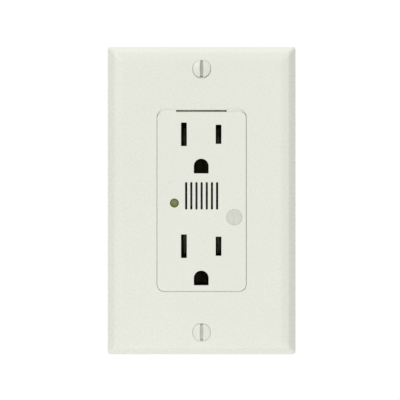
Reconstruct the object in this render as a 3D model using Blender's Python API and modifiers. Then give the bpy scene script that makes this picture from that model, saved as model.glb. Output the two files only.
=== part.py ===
"""Surge-protective duplex receptacle with an alarm grille, a pilot light and its wall plate.

Frame: metres, +Z up, the front faces -Y. The origin is on the wall plane, at the middle of
the wall plate. The plate's rim and the ears of the mounting strap lie on the wall, y = 0;
the face stands in front of it and the rear housing goes back into the wall box.
"""

import math

import bmesh
import bpy
from mathutils import Vector

MM = 0.001
GAP = 0.3 * MM  # play between pieces that touch

# Wall plate
PLATE_WIDTH = 69.85 * MM
PLATE_HEIGHT = 114.3 * MM
PLATE_DEPTH = 5.6 * MM
PLATE_WALL = 2.3 * MM
OPENING_WIDTH = 33.0 * MM
OPENING_HEIGHT = 66.7 * MM
OPENING_Z = -0.1 * MM
OPENING_CORNER = 2.5 * MM
PLATE_SCREW_Z = 48.42 * MM  # half of the 96.8 mm between the two plate screws

# Face
FACE_PROUD = 0.4 * MM
FACE_SIDE_GAP = 0.25 * MM
FACE_TOP_GAP = 0.75 * MM
FACE_WALL = 2.5 * MM
BLADE_X = 6.35 * MM  # the blades of a plug stand 12.7 mm apart
NEUTRAL_SLOT = (2.05 * MM, 8.4 * MM)
LINE_SLOT = (2.05 * MM, 6.8 * MM)
BLADE_Z = (24.3 * MM, -16.75 * MM)  # the middle of each outlet's blade slots
GROUND_BELOW_BLADES = 11.6 * MM
GROUND_RADIUS = 2.65 * MM
GRILLE_Z = 1.72 * MM
GRILLE_SLOTS = 7
GRILLE_PITCH = 1.89 * MM
GRILLE_SLOT = (0.65 * MM, 10.05 * MM)
PILOT_X, PILOT_Z = -10.0 * MM, -0.92 * MM
PILOT_RADIUS = 1.55 * MM
MEDALLION_X, MEDALLION_Z = 12.0 * MM, -6.15 * MM
MEDALLION_RADIUS = 2.95 * MM

# Strap
STRAP_THICKNESS = 1.2 * MM
STRAP_HALF_LENGTH = 52.8 * MM
STRAP_HALF_WIDTH = 20.0 * MM
STRAP_NECK = 9.5 * MM  # half of the neck's width
EAR_HALF_WIDTH = 17.0 * MM
DEVICE_SCREW_Z = 41.65 * MM  # half of the 83.3 mm between the screws that go into the wall box
BOX_SLOT = (8.0 * MM, 4.0 * MM)  # these screws can move sideways in the strap's slots
RIVET_Z = 36.2 * MM

# Rear housing
HOUSING_HALF_WIDTH = 21.0 * MM
HOUSING_HALF_HEIGHT = 34.6 * MM
HOUSING_FRONT = GAP
HOUSING_REAR = 31.3 * MM
HOUSING_FLOOR = 28.3 * MM
CAVITY_HALF_WIDTH = 14.9 * MM
CAVITY_HALF_HEIGHT = 33.2 * MM
POCKET_FLOOR = 16.6 * MM  # how far from the middle the terminal pockets reach in
COLUMN_X, COLUMN_Z = 13.3 * MM, 29.5 * MM

# Terminals and contacts
TERMINAL_Y = 11.5 * MM
TERMINAL_Z = 12.0 * MM
TERMINAL_PLATE = (17.0 * MM, 17.9 * MM)
CLAMP_THICKNESS = 1.2 * MM
GROUND_TERMINAL_Y, GROUND_TERMINAL_Z = 6.0 * MM, -27.2 * MM
SHEET = 0.8 * MM
BLADE_CONTACT_FLOOR = 13.4 * MM
GROUND_CONTACT_FLOOR = 15.1 * MM
CONTACT_MOUTH = 1.2 * MM

# Circuit board
BOARD_FRONT, BOARD_REAR = 16.2 * MM, 17.8 * MM

FRONT = Vector((0, -1, 0))
REAR = Vector((0, 1, 0))
PLATE_FRONT = -PLATE_DEPTH
PLATE_INSIDE = PLATE_FRONT + PLATE_WALL
FACE_FRONT = PLATE_FRONT - FACE_PROUD
FACE_INSIDE = FACE_FRONT + FACE_WALL
FLANGE_FRONT = PLATE_INSIDE + GAP
FLANGE_REAR = -STRAP_THICKNESS - GAP
FACE_WIDTH = OPENING_WIDTH - 2 * FACE_SIDE_GAP
FACE_TOP = OPENING_Z + OPENING_HEIGHT / 2 - FACE_TOP_GAP
FACE_BOTTOM = OPENING_Z - OPENING_HEIGHT / 2 + FACE_SIDE_GAP
GROUND_Z = tuple(z - GROUND_BELOW_BLADES for z in BLADE_Z)
HALF_TURN = math.pi


def clear_scene():
    for obj in list(bpy.data.objects):
        bpy.data.objects.remove(obj)


def new_collection(name, parent=None):
    made = bpy.data.collections.new(name)
    (parent or bpy.context.scene.collection).children.link(made)
    return made


clear_scene()
PARTS = new_collection("duplex_receptacle")
HELPERS = new_collection("cutters")


def material(name, colour, roughness, metallic=0.0):
    made = bpy.data.materials.new(name)
    made.use_nodes = True
    shader = made.node_tree.nodes["Principled BSDF"]
    shader.inputs["Base Color"].default_value = (*colour, 1.0)
    shader.inputs["Roughness"].default_value = roughness
    shader.inputs["Metallic"].default_value = metallic
    return made


WHITE_PLASTIC = material("white_plastic", (0.80, 0.81, 0.73), 0.35)
WHITE_PAINT = material("white_paint", (0.78, 0.79, 0.72), 0.30)
GREY_PLASTIC = material("grey_plastic", (0.06, 0.065, 0.07), 0.50)
ZINC_STEEL = material("zinc_steel", (0.62, 0.63, 0.64), 0.35, 1.0)
BRASS = material("brass", (0.80, 0.58, 0.25), 0.30, 1.0)
NICKEL = material("nickel", (0.70, 0.68, 0.64), 0.25, 1.0)
GREEN_PAINT = material("green_paint", (0.03, 0.25, 0.08), 0.35)
GREEN_LENS = material("green_lens", (0.18, 0.22, 0.07), 0.25)
BOARD_GREEN = material("board_green", (0.02, 0.16, 0.05), 0.45)
BLUE_RESIN = material("blue_resin", (0.03, 0.10, 0.35), 0.30)
YELLOW_FILM = material("yellow_film", (0.75, 0.55, 0.05), 0.40)
BLACK_RESIN = material("black_resin", (0.02, 0.02, 0.02), 0.45)
BROWN_FIBRE = material("brown_fibre", (0.30, 0.20, 0.11), 0.80)
BEIGE_BODY = material("beige_body", (0.62, 0.50, 0.34), 0.50)
CLEAR_NYLON = material("clear_nylon", (0.75, 0.75, 0.70), 0.40)


# Modelling tools


def object_from(bm, name, finish):
    """The bmesh as an object: a part if it has a finish, otherwise a helper that cuts or joins."""
    bmesh.ops.recalc_face_normals(bm, faces=bm.faces)
    mesh = bpy.data.meshes.new(name)
    bm.to_mesh(mesh)
    bm.free()
    return add_object(name, mesh, finish)


def add_object(name, mesh, finish):
    obj = bpy.data.objects.new(name, mesh)
    if finish is None:
        HELPERS.objects.link(obj)
        obj.hide_render = True
        obj.display_type = "WIRE"
    else:
        PARTS.objects.link(obj)
        mesh.materials.append(finish)
        mesh.shade_smooth()
        mesh.set_sharp_from_angle(angle=math.radians(35))
    return obj


def box(name, x, y, z, finish=None):
    """A box between three (low, high) pairs."""
    spans = (x, y, z)
    bm = bmesh.new()
    bmesh.ops.create_cube(bm, size=1.0)
    bmesh.ops.scale(bm, vec=[high - low for low, high in spans], verts=bm.verts)
    obj = object_from(bm, name, finish)
    obj.location = [(low + high) / 2 for low, high in spans]
    return obj


def cylinder(name, base, axis, radius, length, finish=None, end_radius=None, sides=16):
    """A cylinder or cone that stands on base and runs along axis."""
    bm = bmesh.new()
    end = radius if end_radius is None else end_radius
    bmesh.ops.create_cone(
        bm, cap_ends=True, segments=sides, radius1=radius, radius2=end, depth=length
    )
    bmesh.ops.translate(bm, vec=(0, 0, length / 2), verts=bm.verts)
    obj = object_from(bm, name, finish)
    obj.location = base
    obj.rotation_euler = Vector(axis).to_track_quat("Z", "Y").to_euler()
    return obj


def turned(name, profile, seat, axis, finish, sides=24):
    """A profile of (radius, height) from its top to its bottom, turned about axis through seat."""
    mesh = bpy.data.meshes.new(name)
    edges = [(i, i + 1) for i in range(len(profile) - 1)]
    mesh.from_pydata([(radius, 0, height) for radius, height in profile], edges, [])
    obj = add_object(name, mesh, finish)
    screw = obj.modifiers.new("turn", "SCREW")
    screw.steps = screw.render_steps = sides
    screw.use_merge_vertices = True
    screw.merge_threshold = 0.00001
    obj.location = seat
    obj.rotation_euler = Vector(axis).to_track_quat("Z", "Y").to_euler()
    return obj


def arc(centre, radius, start, end, steps):
    """Points along an arc, with its ends, for angles in degrees."""
    angles = [math.radians(start + (end - start) * i / steps) for i in range(steps + 1)]
    return [(centre[0] + radius * math.cos(a), centre[1] + radius * math.sin(a)) for a in angles]


def rounded_rectangle(half_width, low, high, radius, steps=3):
    """An outline in x and z, symmetric about x = 0, anticlockwise from its lower right corner."""
    side, bottom, top = half_width - radius, low + radius, high - radius
    return (
        arc((side, bottom), radius, -90, 0, steps)
        + arc((side, top), radius, 0, 90, steps)
        + arc((-side, top), radius, 90, 180, steps)
        + arc((-side, bottom), radius, 180, 270, steps)
    )


def centred_rectangle(width, height, radius, steps=3):
    return rounded_rectangle(width / 2, -height / 2, height / 2, radius, steps)


def slot_outline(x, z, width, height, steps=4):
    """A slot with round ends, standing up if it is higher than wide and lying otherwise."""
    radius = min(width, height) / 2
    reach_x, reach_z = width / 2 - radius, height / 2 - radius
    if height > width:
        ends = arc((x, z + reach_z), radius, 0, 180, steps)
        return ends + arc((x, z - reach_z), radius, 180, 360, steps)
    ends = arc((x + reach_x, z), radius, -90, 90, steps)
    return ends + arc((x - reach_x, z), radius, 90, 270, steps)


def circle(x, z, radius, steps=16):
    return arc((x, z), radius, 0, 360 - 360 / steps, steps - 1)


def prism(name, outlines, y, finish=None):
    """Outlines in x and z between two depths: the first is outside and the rest are its holes."""
    curve = bpy.data.curves.new(name, "CURVE")
    curve.dimensions = "2D"
    curve.fill_mode = "BOTH"
    curve.extrude = (y[1] - y[0]) / 2
    for outline in outlines:
        spline = curve.splines.new("POLY")
        spline.points.add(len(outline) - 1)
        spline.use_cyclic_u = True
        for point, (across, up) in zip(spline.points, outline):
            point.co = (across, up, 0, 1)
    guide = bpy.data.objects.new(name, curve)
    HELPERS.objects.link(guide)
    graph = bpy.context.evaluated_depsgraph_get()
    mesh = bpy.data.meshes.new_from_object(guide.evaluated_get(graph))
    bpy.data.objects.remove(guide)
    bm = bmesh.new()
    bm.from_mesh(mesh)
    bpy.data.meshes.remove(mesh)
    bmesh.ops.remove_doubles(bm, verts=bm.verts, dist=0.000002)
    bmesh.ops.dissolve_degenerate(bm, edges=bm.edges, dist=0.000002)
    obj = object_from(bm, name, finish)
    obj.location.y = (y[0] + y[1]) / 2
    obj.rotation_euler.x = HALF_TURN / 2
    return obj


def loft(name, sections, finish=None):
    """A closed skin over (depth, outline) sections that all have the same number of points."""
    bm = bmesh.new()
    rings = [[bm.verts.new((x, y, z)) for x, z in outline] for y, outline in sections]
    for near, far in zip(rings, rings[1:]):
        for i in range(len(near)):
            j = (i + 1) % len(near)
            bm.faces.new((near[i], near[j], far[j], far[i]))
    bm.faces.new(rings[0])
    bm.faces.new(reversed(rings[-1]))
    return object_from(bm, name, finish)


def bent_sheet(name, path, across, width, finish=None, thickness=SHEET):
    """Sheet metal bent along a path, as wide as stated in the direction across."""
    bm = bmesh.new()
    side = Vector(across) * width / 2
    rails = [(bm.verts.new(Vector(p) - side), bm.verts.new(Vector(p) + side)) for p in path]
    for (a, b), (c, d) in zip(rails, rails[1:]):
        bm.faces.new((a, b, d, c))
    obj = object_from(bm, name, finish)
    solid = obj.modifiers.new("sheet", "SOLIDIFY")
    solid.thickness = thickness
    solid.offset = 0
    solid.use_even_offset = True
    return obj


def combine(obj, others, operation):
    """One Boolean of obj with a list of helpers, which share a collection of their own."""
    group = new_collection(f"{obj.name}_{operation.lower()}", HELPERS)
    for other in others:
        HELPERS.objects.unlink(other)
        group.objects.link(other)
    boolean = obj.modifiers.new(operation.lower(), "BOOLEAN")
    boolean.operation = operation
    boolean.operand_type = "COLLECTION"
    boolean.collection = group
    return obj


def cut(obj, cutters):
    return combine(obj, cutters, "DIFFERENCE")


def join(obj, others):
    return combine(obj, others, "UNION")


def around(middle, half):
    return (middle - half, middle + half)


# Screws and rivets


def screw(name, seat, out, head, shank_radius, length, slot, finish, turn=0.0, sides=16, hex_head=False):
    """A slotted machine screw. seat is on its axis under the head, out points out of the head.

    head is its profile as (radius, height above the seat), from the middle of its top outwards.
    slot is (width, depth, height of the head), and turn is how far it has been turned, in degrees.
    """
    point = 0.5 * MM
    profile = [*head, (shank_radius, 0), (shank_radius, point - length), (shank_radius - point, -length)]
    made = turned(name, [*profile, (0, -length)], seat, out, finish, sides)
    width, depth, height = slot
    reach = 12 * MM
    cutter = box(f"{name}_slot", around(0, width / 2), around(0, reach), (height - depth, height + reach))
    cutter.parent = made
    cutter.rotation_euler.z = math.radians(turn)
    cutters = [cutter]
    if hex_head:
        flats = head[1][0] * math.cos(math.radians(30))
        for i in range(6):
            side = box(f"{name}_flat_{i}", (flats, flats + reach), around(0, reach), (0.8 * MM, reach))
            side.parent = made
            angle = math.radians(60 * i + turn)
            side.rotation_euler.z = angle
            middle = flats + reach / 2
            side.location = (middle * math.cos(angle), middle * math.sin(angle), side.location.z)
            cutters.append(side)
    return cut(made, cutters)


def plate_screw(name, z, turn):
    """Oval-head 6-32 screw, 12.7 mm long, whose head sits in the plate's countersink."""
    rim, dome = 3.45 * MM, 0.75 * MM
    sphere = (rim**2 + dome**2) / (2 * dome)
    cone_depth = rim - 1.6 * MM
    crown = [
        (sphere * math.sin(a), cone_depth + dome - sphere * (1 - math.cos(a)))
        for a in [math.asin(rim / sphere) * i / 4 for i in range(5)]
    ]
    seat = (0, PLATE_FRONT + cone_depth, z)
    slot = (1.15 * MM, 1.35 * MM, cone_depth + dome)
    return screw(name, seat, FRONT, crown, 1.6 * MM, 10.9 * MM, slot, WHITE_PAINT, turn, sides=24)


def device_screw(name, z, turn):
    """Low pan-head 6-32 screw, 25 mm long, that holds the strap to the wall box."""
    head = [(0, 1.5 * MM), (2.6 * MM, 1.45 * MM), (3.5 * MM, 0.9 * MM), (3.6 * MM, 0)]
    seat = (0, -STRAP_THICKNESS - GAP, z)
    slot = (1.1 * MM, 0.8 * MM, 1.5 * MM)
    return screw(name, seat, FRONT, head, 1.6 * MM, 25.4 * MM, slot, ZINC_STEEL, turn)


def terminal_screw(name, side, z, finish, turn):
    """Binding-head 8-32 screw that draws its clamp plate onto the terminal plate."""
    head = [(0, 2.3 * MM), (2.4 * MM, 2.2 * MM), (3.4 * MM, 1.5 * MM), (3.7 * MM, 0)]
    out = Vector((side, 0, 0))
    seat = (side * (TERMINAL_PLATE[1] + CLAMP_THICKNESS + 2 * GAP), TERMINAL_Y, z)
    return screw(name, seat, out, head, 1.9 * MM, 4.9 * MM, (1.2 * MM, 1.2 * MM, 2.3 * MM), finish, turn)


def ground_screw():
    """Green hexagon-head screw in the tab of the strap."""
    head = [(0, 2.4 * MM), (3.9 * MM, 2.3 * MM), (4.1 * MM, 0.7 * MM), (4.1 * MM, 0)]
    seat = (-STRAP_HALF_WIDTH - GAP, GROUND_TERMINAL_Y, GROUND_TERMINAL_Z)
    slot = (1.2 * MM, 1.2 * MM, 2.4 * MM)
    out = Vector((-1, 0, 0))
    return screw("ground_screw", seat, out, head, 1.9 * MM, 2.7 * MM, slot, GREEN_PAINT, 20, hex_head=True)


def housing_screw(name, x, z, turn):
    """Thread-forming screw from the rear of the housing into a boss of the face."""
    head = [(0, 1.4 * MM), (1.7 * MM, 1.3 * MM), (2.2 * MM, 0.8 * MM), (2.3 * MM, 0)]
    seat = (x, 29.6 * MM, z)
    slot = (0.8 * MM, 0.7 * MM, 1.4 * MM)
    return screw(name, seat, REAR, head, 1.1 * MM, 32.5 * MM, slot, ZINC_STEEL, turn, sides=12)


def rivet(name, z, front, rear):
    """A rivet through the neck of the strap, with a low head at each end."""
    radius, head, height = 0.7 * MM, 1.4 * MM, 0.6 * MM
    profile = [
        (0, height),
        (head * 0.7, height),
        (head, 0),
        (radius, 0),
        (radius, front - rear),
        (head, front - rear),
        (head * 0.7, front - rear - height),
        (0, front - rear - height),
    ]
    return turned(name, profile, (0, front, z), FRONT, BRASS, sides=16)


# Wall plate and face


def wall_plate():
    """A hollow plate whose edge slopes, then rolls over onto the flat front."""
    edge = [  # (depth, inset, corner radius) from the wall to the front
        (0.0, 0.0, 2.0),
        (1.7, 0.25, 2.0),
        (4.2, 2.0, 1.8),
        (5.0, 2.9, 1.8),
        (5.45, 3.9, 1.8),
        (5.6, 5.0, 1.8),
    ]

    def section(inset, corner):
        width, height = PLATE_WIDTH - 2 * inset, PLATE_HEIGHT - 2 * inset
        return centred_rectangle(width, height, corner)

    sections = [(-y * MM, section(inset * MM, corner * MM)) for y, inset, corner in edge]
    plate = loft("wall_plate", sections, WHITE_PLASTIC)
    rim, shoulder = section(2.2 * MM, 1.5 * MM), section(4.2 * MM, 1.5 * MM)
    hollow = loft("plate_hollow", [(MM, rim), (-1.2 * MM, rim), (PLATE_INSIDE, shoulder)])
    cut(plate, [hollow])
    ends = (PLATE_SCREW_Z, -PLATE_SCREW_Z)
    boss_top = -STRAP_THICKNESS - GAP
    bosses = [
        cylinder(f"plate_boss_{i}", (0, boss_top, z), FRONT, 2.85 * MM, boss_top - PLATE_INSIDE + 0.5 * MM)
        for i, z in enumerate(ends)
    ]
    join(plate, bosses)
    low, high = around(OPENING_Z, OPENING_HEIGHT / 2)
    opening = rounded_rectangle(OPENING_WIDTH / 2, low, high, OPENING_CORNER, 5)
    cutters = [prism("plate_opening", [opening], (PLATE_FRONT - MM, MM))]
    for i, z in enumerate(ends):
        through = PLATE_DEPTH + 2 * MM
        cutters.append(cylinder(f"plate_hole_{i}", (0, MM, z), FRONT, 2.0 * MM, through, sides=24))
        base = (0, PLATE_FRONT + 2.05 * MM, z)
        # the countersink goes on past the front at the same slope
        mouth = 4.0 * MM
        cutters.append(
            cylinder(f"countersink_{i}", base, FRONT, 1.7 * MM, 2.3 * MM, end_radius=mouth, sides=24)
        )
    return cut(plate, cutters)


def ground_outline(z):
    """A ground hole: round above, square below."""
    side = arc((0, z), GROUND_RADIUS, 0, 180, 8)
    return side + [(-GROUND_RADIUS, z - GROUND_RADIUS), (GROUND_RADIUS, z - GROUND_RADIUS)]


def outlet_cutters(i, through):
    blade, ground = BLADE_Z[i], GROUND_Z[i]
    width, height = NEUTRAL_SLOT
    across, up = around(-BLADE_X, width / 2), around(blade, height / 2)
    neutral = box(f"neutral_slot_{i}", across, through, up)
    width, height = LINE_SLOT
    across, up = around(BLADE_X, width / 2), around(blade, height / 2)
    line = box(f"line_slot_{i}", across, through, up)
    return [neutral, line, prism(f"ground_hole_{i}", [ground_outline(ground)], through)]


def face_cover():
    """The face with its flange, its blade guides and the bosses for the housing screws."""
    edge = 0.5 * MM
    half = FACE_WIDTH / 2

    def section(inset, corner):
        return rounded_rectangle(half - inset, FACE_BOTTOM + inset, FACE_TOP - inset, corner, 5)

    cover = loft(
        "face_cover",
        [
            (FLANGE_REAR - 0.4 * MM, section(0, 2.3 * MM)),
            (FACE_FRONT + edge, section(0, 2.3 * MM)),
            (FACE_FRONT + 0.15 * MM, section(0.15 * MM, 2.2 * MM)),
            (FACE_FRONT, section(edge, 1.9 * MM)),
        ],
        WHITE_PLASTIC,
    )
    notch, flange_end, flange_side = STRAP_NECK, 34.8 * MM, 18.75 * MM
    outline = centred_rectangle(2 * flange_side, 2 * flange_end, 3 * MM)
    flange = prism("face_flange", [outline], (FLANGE_FRONT, FLANGE_REAR))
    cut(
        flange,
        [
            box("notch_top", around(0, notch), (-4 * MM, 0), (FACE_TOP + 0.1 * MM, flange_end + MM)),
            box("notch_bottom", around(0, notch), (-4 * MM, 0), (-flange_end - MM, FACE_BOTTOM - 0.1 * MM)),
        ],
    )
    join(cover, [flange])
    wall = 1.7 * MM
    hollow = prism(
        "face_hollow",
        [rounded_rectangle(half - wall, FACE_BOTTOM + wall, FACE_TOP - wall, MM)],
        (FACE_INSIDE, 0),
    )
    cut(cover, [hollow])
    block_x, block_rear = 10.0 * MM, 0.6 * MM
    added = []
    for i, ground in enumerate(GROUND_Z):
        low, high = ground - GROUND_RADIUS - 0.6 * MM, BLADE_Z[i] + NEUTRAL_SLOT[1] / 2 + 0.6 * MM
        added.append(box(f"blade_guide_{i}", around(0, block_x), (FACE_INSIDE - MM, block_rear), (low, high)))
    boss = FLANGE_REAR - FACE_INSIDE + MM
    for x in (-COLUMN_X, COLUMN_X):
        for z in (-COLUMN_Z, COLUMN_Z):
            foot = (x, FLANGE_REAR - 0.1 * MM, z)
            added.append(cylinder(f"face_boss_{x:.4f}_{z:.4f}", foot, FRONT, 2.4 * MM, boss))
    join(cover, added)
    through = (FACE_FRONT - MM, block_rear + MM)
    cutters = outlet_cutters(0, through) + outlet_cutters(1, through)
    for i in range(GRILLE_SLOTS):
        x = (i - (GRILLE_SLOTS - 1) / 2) * GRILLE_PITCH
        outline = slot_outline(x, GRILLE_Z, *GRILLE_SLOT)
        cutters.append(prism(f"grille_slot_{i}", [outline], (FACE_FRONT - MM, FACE_INSIDE + MM)))
    pilot = (PILOT_X, FACE_INSIDE + MM, PILOT_Z)
    cutters.append(cylinder("pilot_hole", pilot, FRONT, PILOT_RADIUS + 0.25 * MM, 6 * MM, sides=20))
    dimple = (MEDALLION_X, FACE_FRONT + 0.2 * MM, MEDALLION_Z)
    cutters.append(cylinder("medallion", dimple, FRONT, MEDALLION_RADIUS, 2 * MM, sides=24))
    for x in (-COLUMN_X, COLUMN_X):
        for z in (-COLUMN_Z, COLUMN_Z):
            pilot = cylinder(f"face_pilot_{x:.4f}_{z:.4f}", (x, MM, z), FRONT, 1.4 * MM, 4.6 * MM, sides=12)
            cutters.append(pilot)
    return cut(cover, cutters)


# Strap and what is fixed to it


def strap_outline():
    """Right half of the strap from its lower end to its upper end, then mirrored."""
    body_end, ear_start, ear_corner = 33.4 * MM, 39.2 * MM, 4.0 * MM
    end, ear = STRAP_HALF_LENGTH, EAR_HALF_WIDTH
    slope = 0.4 * MM
    upper = [
        (STRAP_HALF_WIDTH, 0),
        (STRAP_HALF_WIDTH, body_end - 2 * MM),
        (STRAP_HALF_WIDTH - 2 * MM, body_end - slope),
        *arc((STRAP_NECK + 1.5 * MM, body_end + 1.5 * MM), 1.5 * MM, 270, 180, 3),
        *arc((STRAP_NECK + 2 * MM, ear_start - 2 * MM), 2 * MM, 180, 90, 3),
        *arc((ear - 3 * MM, ear_start + 3 * MM + slope), 3 * MM, -90, 0, 3),
        *arc((ear - ear_corner, end - ear_corner), ear_corner, 0, 90, 4),
    ]
    right = [(x, -z) for x, z in reversed(upper[1:])] + upper
    return right + [(-x, z) for x, z in reversed(right)]


def strap_holes():
    wide, tall = 15.5 * MM, 26.5 * MM
    narrow, low, high = 10.4 * MM, -32.0 * MM, 30.0 * MM
    window = [(wide, -tall), (wide, tall), (narrow, tall), (narrow, high)]
    window += [(-x, z) for x, z in reversed(window)]
    window += [(-narrow, low), (narrow, low), (narrow, -tall)]
    window.insert(8, (-narrow, -tall))
    holes = [window]
    for end in (-1, 1):
        holes.append(slot_outline(0, end * DEVICE_SCREW_Z, *BOX_SLOT))
        holes.append(circle(0, end * PLATE_SCREW_Z, 1.9 * MM, 20))
        holes.append(circle(0, end * RIVET_Z, 1.0 * MM, 12))
        for side in (-1, 1):
            holes.append(circle(side * 13.4 * MM, end * 46.3 * MM, 1.7 * MM, 12))
            holes.append(circle(side * COLUMN_X, end * COLUMN_Z, 1.6 * MM, 12))
    return holes


def mounting_strap():
    """The steel yoke: ears, slots for the box screws, and a tab bent back for the ground screw."""
    strap = prism("mounting_strap", [strap_outline(), *strap_holes()], (-STRAP_THICKNESS, 0), ZINC_STEEL)
    tab = box(
        "ground_tab",
        (-STRAP_HALF_WIDTH, -STRAP_HALF_WIDTH + STRAP_THICKNESS),
        (-STRAP_THICKNESS / 2, 11 * MM),
        around(GROUND_TERMINAL_Z, 4.2 * MM),
    )
    join(strap, [tab])
    hole = cylinder(
        "ground_tap",
        (-STRAP_HALF_WIDTH - MM, GROUND_TERMINAL_Y, GROUND_TERMINAL_Z),
        (1, 0, 0),
        2.2 * MM,
        4 * MM,
    )
    return cut(strap, [hole])


def screw_retainer(name, z):
    """Fibre square that keeps a box screw in its slot until the device is mounted."""
    y = (GAP, 1.1 * MM)
    corners = [(x * 4.75 * MM, z + up * 2.9 * MM) for x, up in ((1, -1), (1, 1), (-1, 1), (-1, -1))]
    return prism(name, [corners, circle(0, z, 1.9 * MM)], y, BROWN_FIBRE)


def self_ground_clip():
    """Bronze spring with a slot, whose edge wipes the lower box screw."""
    path = [(0, y * MM, -z * MM) for z, y in ((34.9, 0.5), (37.7, 0.5), (38.6, 1.8), (45.2, 1.8), (46.4, 0.9))]
    clip = bent_sheet("self_ground_clip", path, (1, 0, 0), 10 * MM, BRASS, 0.4 * MM)
    eye = prism("clip_eye", [slot_outline(0, -DEVICE_SCREW_Z, *BOX_SLOT)], (MM, 3 * MM))
    fixing = cylinder("clip_fixing", (0, 0, -RIVET_Z), REAR, 1.0 * MM, 4 * MM, sides=12)
    return cut(clip, [eye, fixing])


# Contacts and terminals


def blade_contacts(name, side, finish):
    """One pole: a sprung contact behind each blade slot, a bus, and the terminal plate outside."""
    flare, pinch, root = 1.9 * MM, 0.95 * MM, 1.35 * MM
    half = [(flare, CONTACT_MOUTH), (pinch, 3.2 * MM), (root, 8.0 * MM), (root, BLADE_CONTACT_FLOOR)]
    outline = [(-x, y) for x, y in half] + [(x, y) for x, y in reversed(half)]
    floor = around(BLADE_CONTACT_FLOOR, 0.45 * MM)
    plate = sorted(side * x for x in TERMINAL_PLATE)
    contacts = box(name, plate, around(TERMINAL_Y, 6 * MM), around(0, 19 * MM), finish)
    bus = sorted((side * 13.6 * MM, side * 14.4 * MM))
    added = [
        box(f"{name}_bridge", sorted((side * 13.8 * MM, side * 17.4 * MM)), floor, around(0, 2.5 * MM)),
        box(f"{name}_bus", bus, (9.8 * MM, 14.1 * MM), (BLADE_Z[1] - 2.2 * MM, BLADE_Z[0] + 2.2 * MM)),
    ]
    for i, z in enumerate(BLADE_Z):
        path = [(side * BLADE_X + x, y, z) for x, y in outline]
        added.append(bent_sheet(f"{name}_spring_{i}", path, (0, 0, 1), 7.2 * MM))
        web = sorted((side * (BLADE_X + 1.0 * MM), side * 14.0 * MM))
        added.append(box(f"{name}_web_{i}", web, floor, around(z, 2.2 * MM)))
    join(contacts, added)
    taps = [
        cylinder(f"{name}_tap_{i}", (side * 15.5 * MM, TERMINAL_Y, z), (side, 0, 0), 2.2 * MM, 4 * MM)
        for i, z in enumerate((TERMINAL_Z, -TERMINAL_Z))
    ]
    return cut(contacts, taps)


def ground_contacts():
    """The ground bus: a foot riveted to the strap, and a sprung contact behind each ground hole."""
    floor, leg, foot = GROUND_CONTACT_FLOOR, 32.3 * MM, 0.7 * MM
    path = [(0, foot, 38.2 * MM), (0, foot, leg), (0, floor, leg), (0, floor, GROUND_Z[1] - 3.2 * MM)]
    bus = bent_sheet("ground_contacts", path, (1, 0, 0), 5.6 * MM, BRASS)
    flare, pinch, root = 3.6 * MM, 2.65 * MM, 3.0 * MM
    half = [(flare, CONTACT_MOUTH), (pinch, 3.8 * MM), (root, 9.0 * MM), (root, floor + 0.1 * MM)]
    outline = [(-x, y) for x, y in half] + [(x, y) for x, y in reversed(half)]
    springs = [
        bent_sheet(f"ground_spring_{i}", [(x, y, z) for x, y in outline], (0, 0, 1), 6.0 * MM)
        for i, z in enumerate(GROUND_Z)
    ]
    join(bus, springs)
    return cut(bus, [cylinder("ground_bus_hole", (0, -MM, RIVET_Z), REAR, 1.0 * MM, 4 * MM, sides=12)])


def clamp_plate(name, side, z):
    """Square steel plate under a terminal screw: wires pushed in from the rear go behind it."""
    inner = TERMINAL_PLATE[1] + GAP
    span = sorted((side * inner, side * (inner + CLAMP_THICKNESS)))
    plate = box(name, span, around(TERMINAL_Y, 4.5 * MM), around(z, 4.5 * MM), ZINC_STEEL)
    return cut(plate, [cylinder(f"{name}_hole", (side * 16 * MM, TERMINAL_Y, z), (side, 0, 0), 2.2 * MM, 5 * MM)])


# Rear housing


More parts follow.
